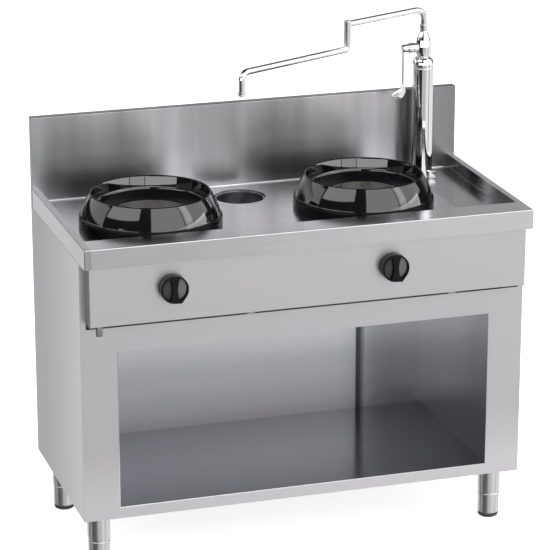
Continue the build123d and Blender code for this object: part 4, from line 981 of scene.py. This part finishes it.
crosswise = add(tree, "GeometryNodeTransform", {"Geometry": lengthwise, **quarter_turn}).outputs[0]
close_tree((lengthwise, crosswise), "strainer_steel", ending)
drain, rim_radius, basket_base, basket_rim = round_solid("strainer_basket")
basket_low, basket_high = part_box("strainer_basket")
basket_floor = part_from(grown("strainer_floor", tree, floor_sizes), (*drain, basket_low.z + 0.0009))

# %% [markdown]
# The wall's strips stand round a circle and are tied by hoops. The strips are a little proud of
# the hoops, so that no two faces lie in one plane.

# %% Grow the strainer's wall
wall_sizes = {"Radius": 0.0634, "Strips": 80, "Hoops": 7, "Height": 0.034, "Strip width": 0.0021}
tree, ending, sockets = new_tree("strainer_wall", wall_sizes)
radius, strip_count, hoop_count, wall_height, strip_width = sockets[1:]
around_rim = add(tree, "GeometryNodeMeshCircle", {"Vertices": strip_count, "Radius": radius})
spot = coordinates(add(tree, "GeometryNodeInputPosition").outputs[0])
facing = vector(tree, height=calculate("ARCTAN2", spot[1], spot[0]))
upright = add(tree, "GeometryNodeMeshCube", {"Size": (1, 1, 1)}).outputs[0]
upright_size = vector(tree, 0.0011, strip_width, wall_height)
strips = copies(around_rim.outputs[0], upright, {"Scale": upright_size, "Rotation": facing})
hoop_gaps = calculate("SUBTRACT", hoop_count, 1)
stack = add(tree, "GeometryNodeMeshLine", {
    "Count": hoop_count,
    "Start Location": vector(tree, height=product(wall_height, -0.5)),
    "Offset": vector(tree, height=calculate("DIVIDE", wall_height, hoop_gaps)),
})
hoop_line = add(tree, "GeometryNodeCurvePrimitiveCircle", {"Resolution": 96, "Radius": radius})
hoop_section = add(tree, "GeometryNodeCurvePrimitiveQuadrilateral", {"Width": 0.0009, "Height": 0.0021})
hoops = copies(stack.outputs[0], swept(hoop_line.outputs[0], hoop_section.outputs[0]))
close_tree((strips, hoops), "strainer_steel", ending)
wall_middle = (basket_low.z + basket_high.z) / 2 - 0.0005
basket_wall = part_from(grown("strainer_wall", tree, wall_sizes), (*drain, wall_middle))

# %% [markdown]
# The basket hangs by its rim in the drain. Its rim, its foot and the knob to lift it by are
# turned, and the lattice fills the rest.

# %% Assemble the strainer
foot_outline = [(61.5, 0), (64, 0), (64, 3.2), (62.8, 3.2), (62.4, 1.4), (61.5, 1.4)]
rim_outline = [(62.8, -4), (64, -4), (64.4, -1.6), (rim_radius, -1.2), (rim_radius, 0), (62.8, 0)]
lift_outline = [(0, 0), (8, 0), (8, 2.5), (4, 5), (4, 10), (7, 12), (8, 14.5), (7, 16.4)]
lift_outline += [(4, 17.2), (0, 17.2)]
strainer = combined(
    turned(shifted(foot_outline, 0, basket_base), drain, 96, 0.3, closed=True),
    turned(shifted(rim_outline, 0, basket_rim), drain, 96, 0.3, closed=True),
    turned(shifted(lift_outline, 0, basket_base), drain, 32, 0.8, 3),
    basket_floor,
    basket_wall,
)
piece("strainer_pierced", strainer, "strainer_steel", "strainer", ["strainer_basket"])

# %% [markdown]
# ## Edges and seams
# The front opening of the cabinet has a folded edge that shines as a thin bright line, the
# splashback meets the worktop in a polished cove, and the worktop's front is folded. Each is a bead of
# steel far
# lighter than the sheets: a polished edge, and a painted highlight. All three follow a path, so a tree
# sweeps a small round section along the path's points.

# %% Sweep the bright edges
tree, ending, (path_points, radius) = new_tree("bead_along_path", {"Bead radius": 0.001})
path = add(tree, "GeometryNodeMeshToCurve", {0: path_points}).outputs[0]
section = add(tree, "GeometryNodeCurvePrimitiveCircle", {"Resolution": 8, "Radius": radius}).outputs[0]
close_tree((swept(path, section),), "polished_edge", ending)

liner_low, liner_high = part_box("compartment_ceiling")
shelf_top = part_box("base_shelf")[1].z
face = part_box("front_frame")[0].y + 0.0006
splash_low, splash_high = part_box("splashback")
cove_depth, cove_height = splash_low.y - 0.0008, ring_floor / 1000 + 0.0008
top_low, top_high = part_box("worktop")
fold_depth, fold_height = top_low.y + 0.0012, top_high.z - 0.0012
beads = {
    "opening_edge": (
        0.0009,
        [(liner_low.x, face, liner_low.z), (liner_low.x, face, shelf_top), (liner_high.x, face, shelf_top)],
    ),
    "splash_cove": (
        0.0024,
        [(splash_low.x + 0.019, cove_depth, cove_height), (splash_high.x - 0.019, cove_depth, cove_height)],
    ),
    "front_fold": (
        0.0012,
        [(top_low.x + 0.003, fold_depth, fold_height), (top_high.x - 0.003, fold_depth, fold_height)],
    ),
}
# each bead is a painted highlight on a polished edge
for name, (bead_radius, points) in beads.items():
    seed = bpy.data.meshes.new("seed")
    seed.from_pydata(points, [(i, i + 1) for i in range(len(points) - 1)], [])
    mesh = grown(name, tree, {"Bead radius": bead_radius}, seed)
    adopt(name, mesh, "polished_edge", "range", sharp=50)

# %% [markdown]
# ## Screws in the back
# The removable back sheet is held by countersunk screws. One screw head with a cross-shaped slot
# is drawn once and a tree sets a copy on every place where the sheet has a hole.


# %% Set the rear screws
def screw_head(radius, depth):
    """A flat head with a cross slot, looking along +Y, around the origin."""
    arm, width = radius * 0.62, radius * 0.16
    cross = []
    for k in range(4):
        cos, sin = math.cos(math.pi / 2 * k), math.sin(math.pi / 2 * k)
        ends = (arm, -width), (arm, width), (width, width)
        cross += [(a * cos - b * sin, a * sin + b * cos) for a, b in ends]
    rim = circle(radius, len(cross) * 2)
    made = bmesh.new()
    loops = (rim, 1, 0), (rim, 0.5, -depth), (cross, 1, 0), (cross, 0.8, -depth * 0.7)
    outer, under, slot_top, slot_floor = (
        [made.verts.new((x * size, y, z * size)) for x, z in loop] for loop, size, y in loops
    )
    for corners in band(slot_top, slot_floor) + [slot_floor, under] + band(outer, under):
        made.faces.new(corners)
    rims = [(loop[k], loop[(k + 1) % len(loop)]) for loop in (outer, slot_top) for k in range(len(loop))]
    edges = [made.edges.get(ends) or made.edges.new(ends) for ends in rims]
    bmesh.ops.triangle_fill(made, edges=edges, use_beauty=True)
    bmesh.ops.recalc_face_normals(made, faces=made.faces)
    mesh = bpy.data.meshes.new("screw_head")
    made.to_mesh(mesh)
    made.free()
    return mesh


screw_sizes = {"Turn": 0.3}
pattern = bpy.data.objects.new("screw_pattern", screw_head(0.0039, 0.0015))
tree, ending, (screw_places, turn) = new_tree("screws_on_places", screw_sizes)
head = add(tree, "GeometryNodeObjectInfo", {"Object": pattern}).outputs["Geometry"]
head_turn = {"Rotation": vector(tree, depth=turn)}
close_tree((copies(screw_places, head, head_turn),), "plated_steel", ending)
screw_low, screw_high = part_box("rear_panel_screws")
rear_low, rear_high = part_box("rear_panel")
screw_rows, head_radius = 4, 0.004
row_step = (rear_high.z - rear_low.z) / screw_rows
places = [
    (x, screw_high.y, rear_low.z + row_step * (k + 0.5))
    for x in (screw_low.x + head_radius, screw_high.x - head_radius)
    for k in range(screw_rows)
]
seed = bpy.data.meshes.new("seed")
seed.from_pydata(places, [], [])
screws = grown("rear_screws", tree, screw_sizes, seed)
adopt("rear_screw_heads", screws, "plated_steel", "range", ["rear_panel_screws"])
bpy.data.objects.remove(pattern)

# %% [markdown]
# ## The thread on the gas inlet
# The gas end carries a pipe thread below a six-sided nut. A thread is a small ridge that climbs
# round the pipe, so a tree winds a spiral and sweeps a four-sided section along it.

# %% Wind the thread
fitting_low, fitting_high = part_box("gas_inlet_fitting")
fitting_middle = round_solid("gas_inlet_fitting")[0]
crest, thread_length, bore, nut_radius = 0.0131, 0.022, 0.009, 0.0182
thread_sizes = {"Crest radius": crest, "Length": thread_length * 0.86, "Turns": 9.0, "Ridge": 0.0008}
tree, ending, (_, crest_radius, climb, turns, ridge_size) = new_tree("thread_on_pipe", thread_sizes)
core = calculate("SUBTRACT", crest_radius, ridge_size)
spiral_sizes = {"Start Radius": core, "End Radius": core, "Rotations": turns, "Height": climb}
spiral = add(tree, "GeometryNodeCurveSpiral", {"Resolution": 28, **spiral_sizes}).outputs[0]
ridge = add(tree, "GeometryNodeCurvePrimitiveCircle", {"Resolution": 4, "Radius": ridge_size}).outputs[0]
close_tree((swept(spiral, ridge),), "valve_brass", ending)
thread_place = (*fitting_middle, fitting_low.z + thread_length * 0.07)
thread = part_from(grown("gas_thread", tree, thread_sizes), thread_place)

pipe_radius, pipe_low, pipe_high = crest - 0.0011, fitting_low.z, fitting_low.z + thread_length
pipe_outline = [
    (bore, pipe_low), (pipe_radius - 0.001, pipe_low), (pipe_radius, pipe_low + 0.001),
    (pipe_radius, pipe_high), (bore, pipe_high),
]
x, y = fitting_middle
nut_heights = pipe_high, fitting_high.z
nut_points = [(x + dx, y + dy, z) for z in nut_heights for dx, dy in circle(nut_radius, 6)]
nut_ends = [list(range(6)), list(range(6, 12))]
nut = nut_points, nut_ends + band(*nut_ends)
inlet = combined(thread, spun(pipe_outline, fitting_middle, 48), nut)
piece("gas_inlet_threaded", inlet, "valve_brass", "range", ["gas_inlet_fitting"])

# %% [markdown]
# ## Feet
# Each foot ends in a soft black pad with rounded edges, and a thin ring is rolled into the stem
# above it. Both are turned, and each rides on its own foot, so that it moves when the foot is
# wound out.

# %% Turn the pads and the rolled rings
rolled_outline = [(28.6, 66), (29.7, 66.6), (29.9, 68), (29.7, 69.4), (28.6, 70)]
for name in sorted(starting("foot_pad_")):
    corner = name.replace("foot_pad_", "")
    middle, radius, _, height = round_solid(name)
    pad_outline = [(0, 0), (radius - 4, 0), (radius, 4), (radius, height - 1)]
    pad_outline += [(radius - 1, height), (0, height)]
    pad = turned(pad_outline, middle, 64, 2, 4)
    piece("pad_" + corner, pad, "pad_rubber", "foot_" + corner, [name], 60)
    rolled = turned(rolled_outline, middle, 64, closed=True)
    piece("stem_ring_" + corner, rolled, "leg_steel", "foot_" + corner, (), 60)

# %% [markdown]
# ## The studio
# The range stands on a pale floor. Round it hang large soft cards of light with dark gaps
# between them: black enamel and chrome look like what they are only when they have bright and
# dark shapes to mirror. The cards are drawn on the sky by direction: a turn from the front and
# a height, both in degrees.

# %% Draw the studio on the sky
world = bpy.data.worlds.new("studio")
bpy.context.scene.world = world
world.use_nodes = True
sky = world.node_tree
degrees = 180 / math.pi
ray = coordinates(add(sky, "ShaderNodeTexCoord").outputs["Generated"])
backwards = product(ray[1], -1)
around = product(calculate("ARCTAN2", ray[0], backwards), degrees)
above = product(calculate("ARCSINE", ray[2]), degrees)


def window(source, low, high, soft):
    """1 between low and high, 0 outside, with soft edges."""
    rising = remap(source, 0, 1, low - soft, low + soft, interpolation_type="SMOOTHSTEP")
    falling = remap(source, 1, 0, high - soft, high + soft, interpolation_type="SMOOTHSTEP")
    return product(rising, falling)


cards = [
    # turn from, turn to, height from, height to, strength, softness, rise of the card to the right
    (-27, 14, -90, -6, 0.5, 1.5, 0),
    (14, 19, -90, -6, 0.66, 2.5, 0),
    (19, 49, -90, -6, 0.86, 2.5, 0),
    (56, 125, -90, -6, 0.85, 2.5, 0),
    (125, 185, -90, -6, 0.95, 3, 0),
    (-185, -128, -90, -6, 0.8, 6, 0),
    (-112, -84, -90, -6, 0.4, 4, 0),
    (-68, -5, -5, 13, 2.6, 0.6, 0),
    (-3.6, 25.5, -5, 13, 2.4, 0.6, 0),
    (27, 90, -5, 13, 2.6, 0.6, 0),
    (-14, 43, 13, 60, 1.6, 1, 0),
    (46, 62, 13, 60, 3, 5, 0),
    (64, 100, 10, 60, 1.3, 1, 0),
    (-97, -36, 29, 62, 1.7, 1, 0.164),
    (-165, -100, 6, 30, 1, 1.5, 0),
    (120, 195, -6, 34, 0.42, 8, 0),
    (-185, -170, -6, 34, 0.42, 5, 0),
]
light = 0.03
for turn_from, turn_to, low_edge, high_edge, strength, soft, rise in cards:
    level = calculate("MULTIPLY_ADD", calculate("SUBTRACT", around, turn_to), -rise, above)
    shape = product(window(around, turn_from, turn_to, soft), window(level, low_edge, high_edge, soft))
    light = calculate("MULTIPLY_ADD", shape, strength, light)
fill(sky.nodes["Background"], {"Color": light})
print("cards:", len(cards))

# %% [markdown]
# A large soft lamp overhead and one from the front left light the floor and fill the shadows.
# They are kept out of reflections, so that only the cards show in the chrome.


# %% Hang the lamps and lay the floor
def lamp(name, place, aim, size, power):
    """A square soft light at a place, turned to a point."""
    data = bpy.data.lights.new(name, "AREA")
    data.shape = "SQUARE"
    data.size = size
    data.energy = power
    made = placed(name, data)
    made.location = place
    made.rotation_euler = (Vector(aim) - Vector(place)).to_track_quat("-Z", "Y").to_euler()
    made.visible_glossy = False


lamp("overhead", (0, -1, 5), (0, 0, 0), 5, 260)
lamp("front_left", (-3.5, -4, 3), (0, 0, 0.8), 2.5, 60)

half_width = 60
floor_mesh = bpy.data.meshes.new("studio_floor")
corners = [(x * half_width, y * half_width, 0) for x, y in ((-1, -1), (1, -1), (1, 1), (-1, 1))]
floor_mesh.from_pydata(corners, [], [(0, 1, 2, 3)])
studio_floor = placed("studio_floor", floor_mesh)
glow = {"Roughness": 0.9, "Emission Strength": 0.75, "Emission Color": (1, 1, 1, 1)}
floor_paint, tree, shader = finish("floor_paint", glow)
grey = remap(speckle(object_place(tree), 0.4, 1), 0.86, 0.88)
paint_colour = add(tree, "ShaderNodeCombineColor", {0: grey, 1: grey, 2: grey}).outputs[0]
fill(shader, {"Base Color": paint_colour})
floor_mesh.materials.append(floor_paint)
studio_floor.visible_glossy = False

view = bpy.context.scene.view_settings
view.view_transform = "Standard"
view.look = "None"
view.exposure = 0
print("floor laid")
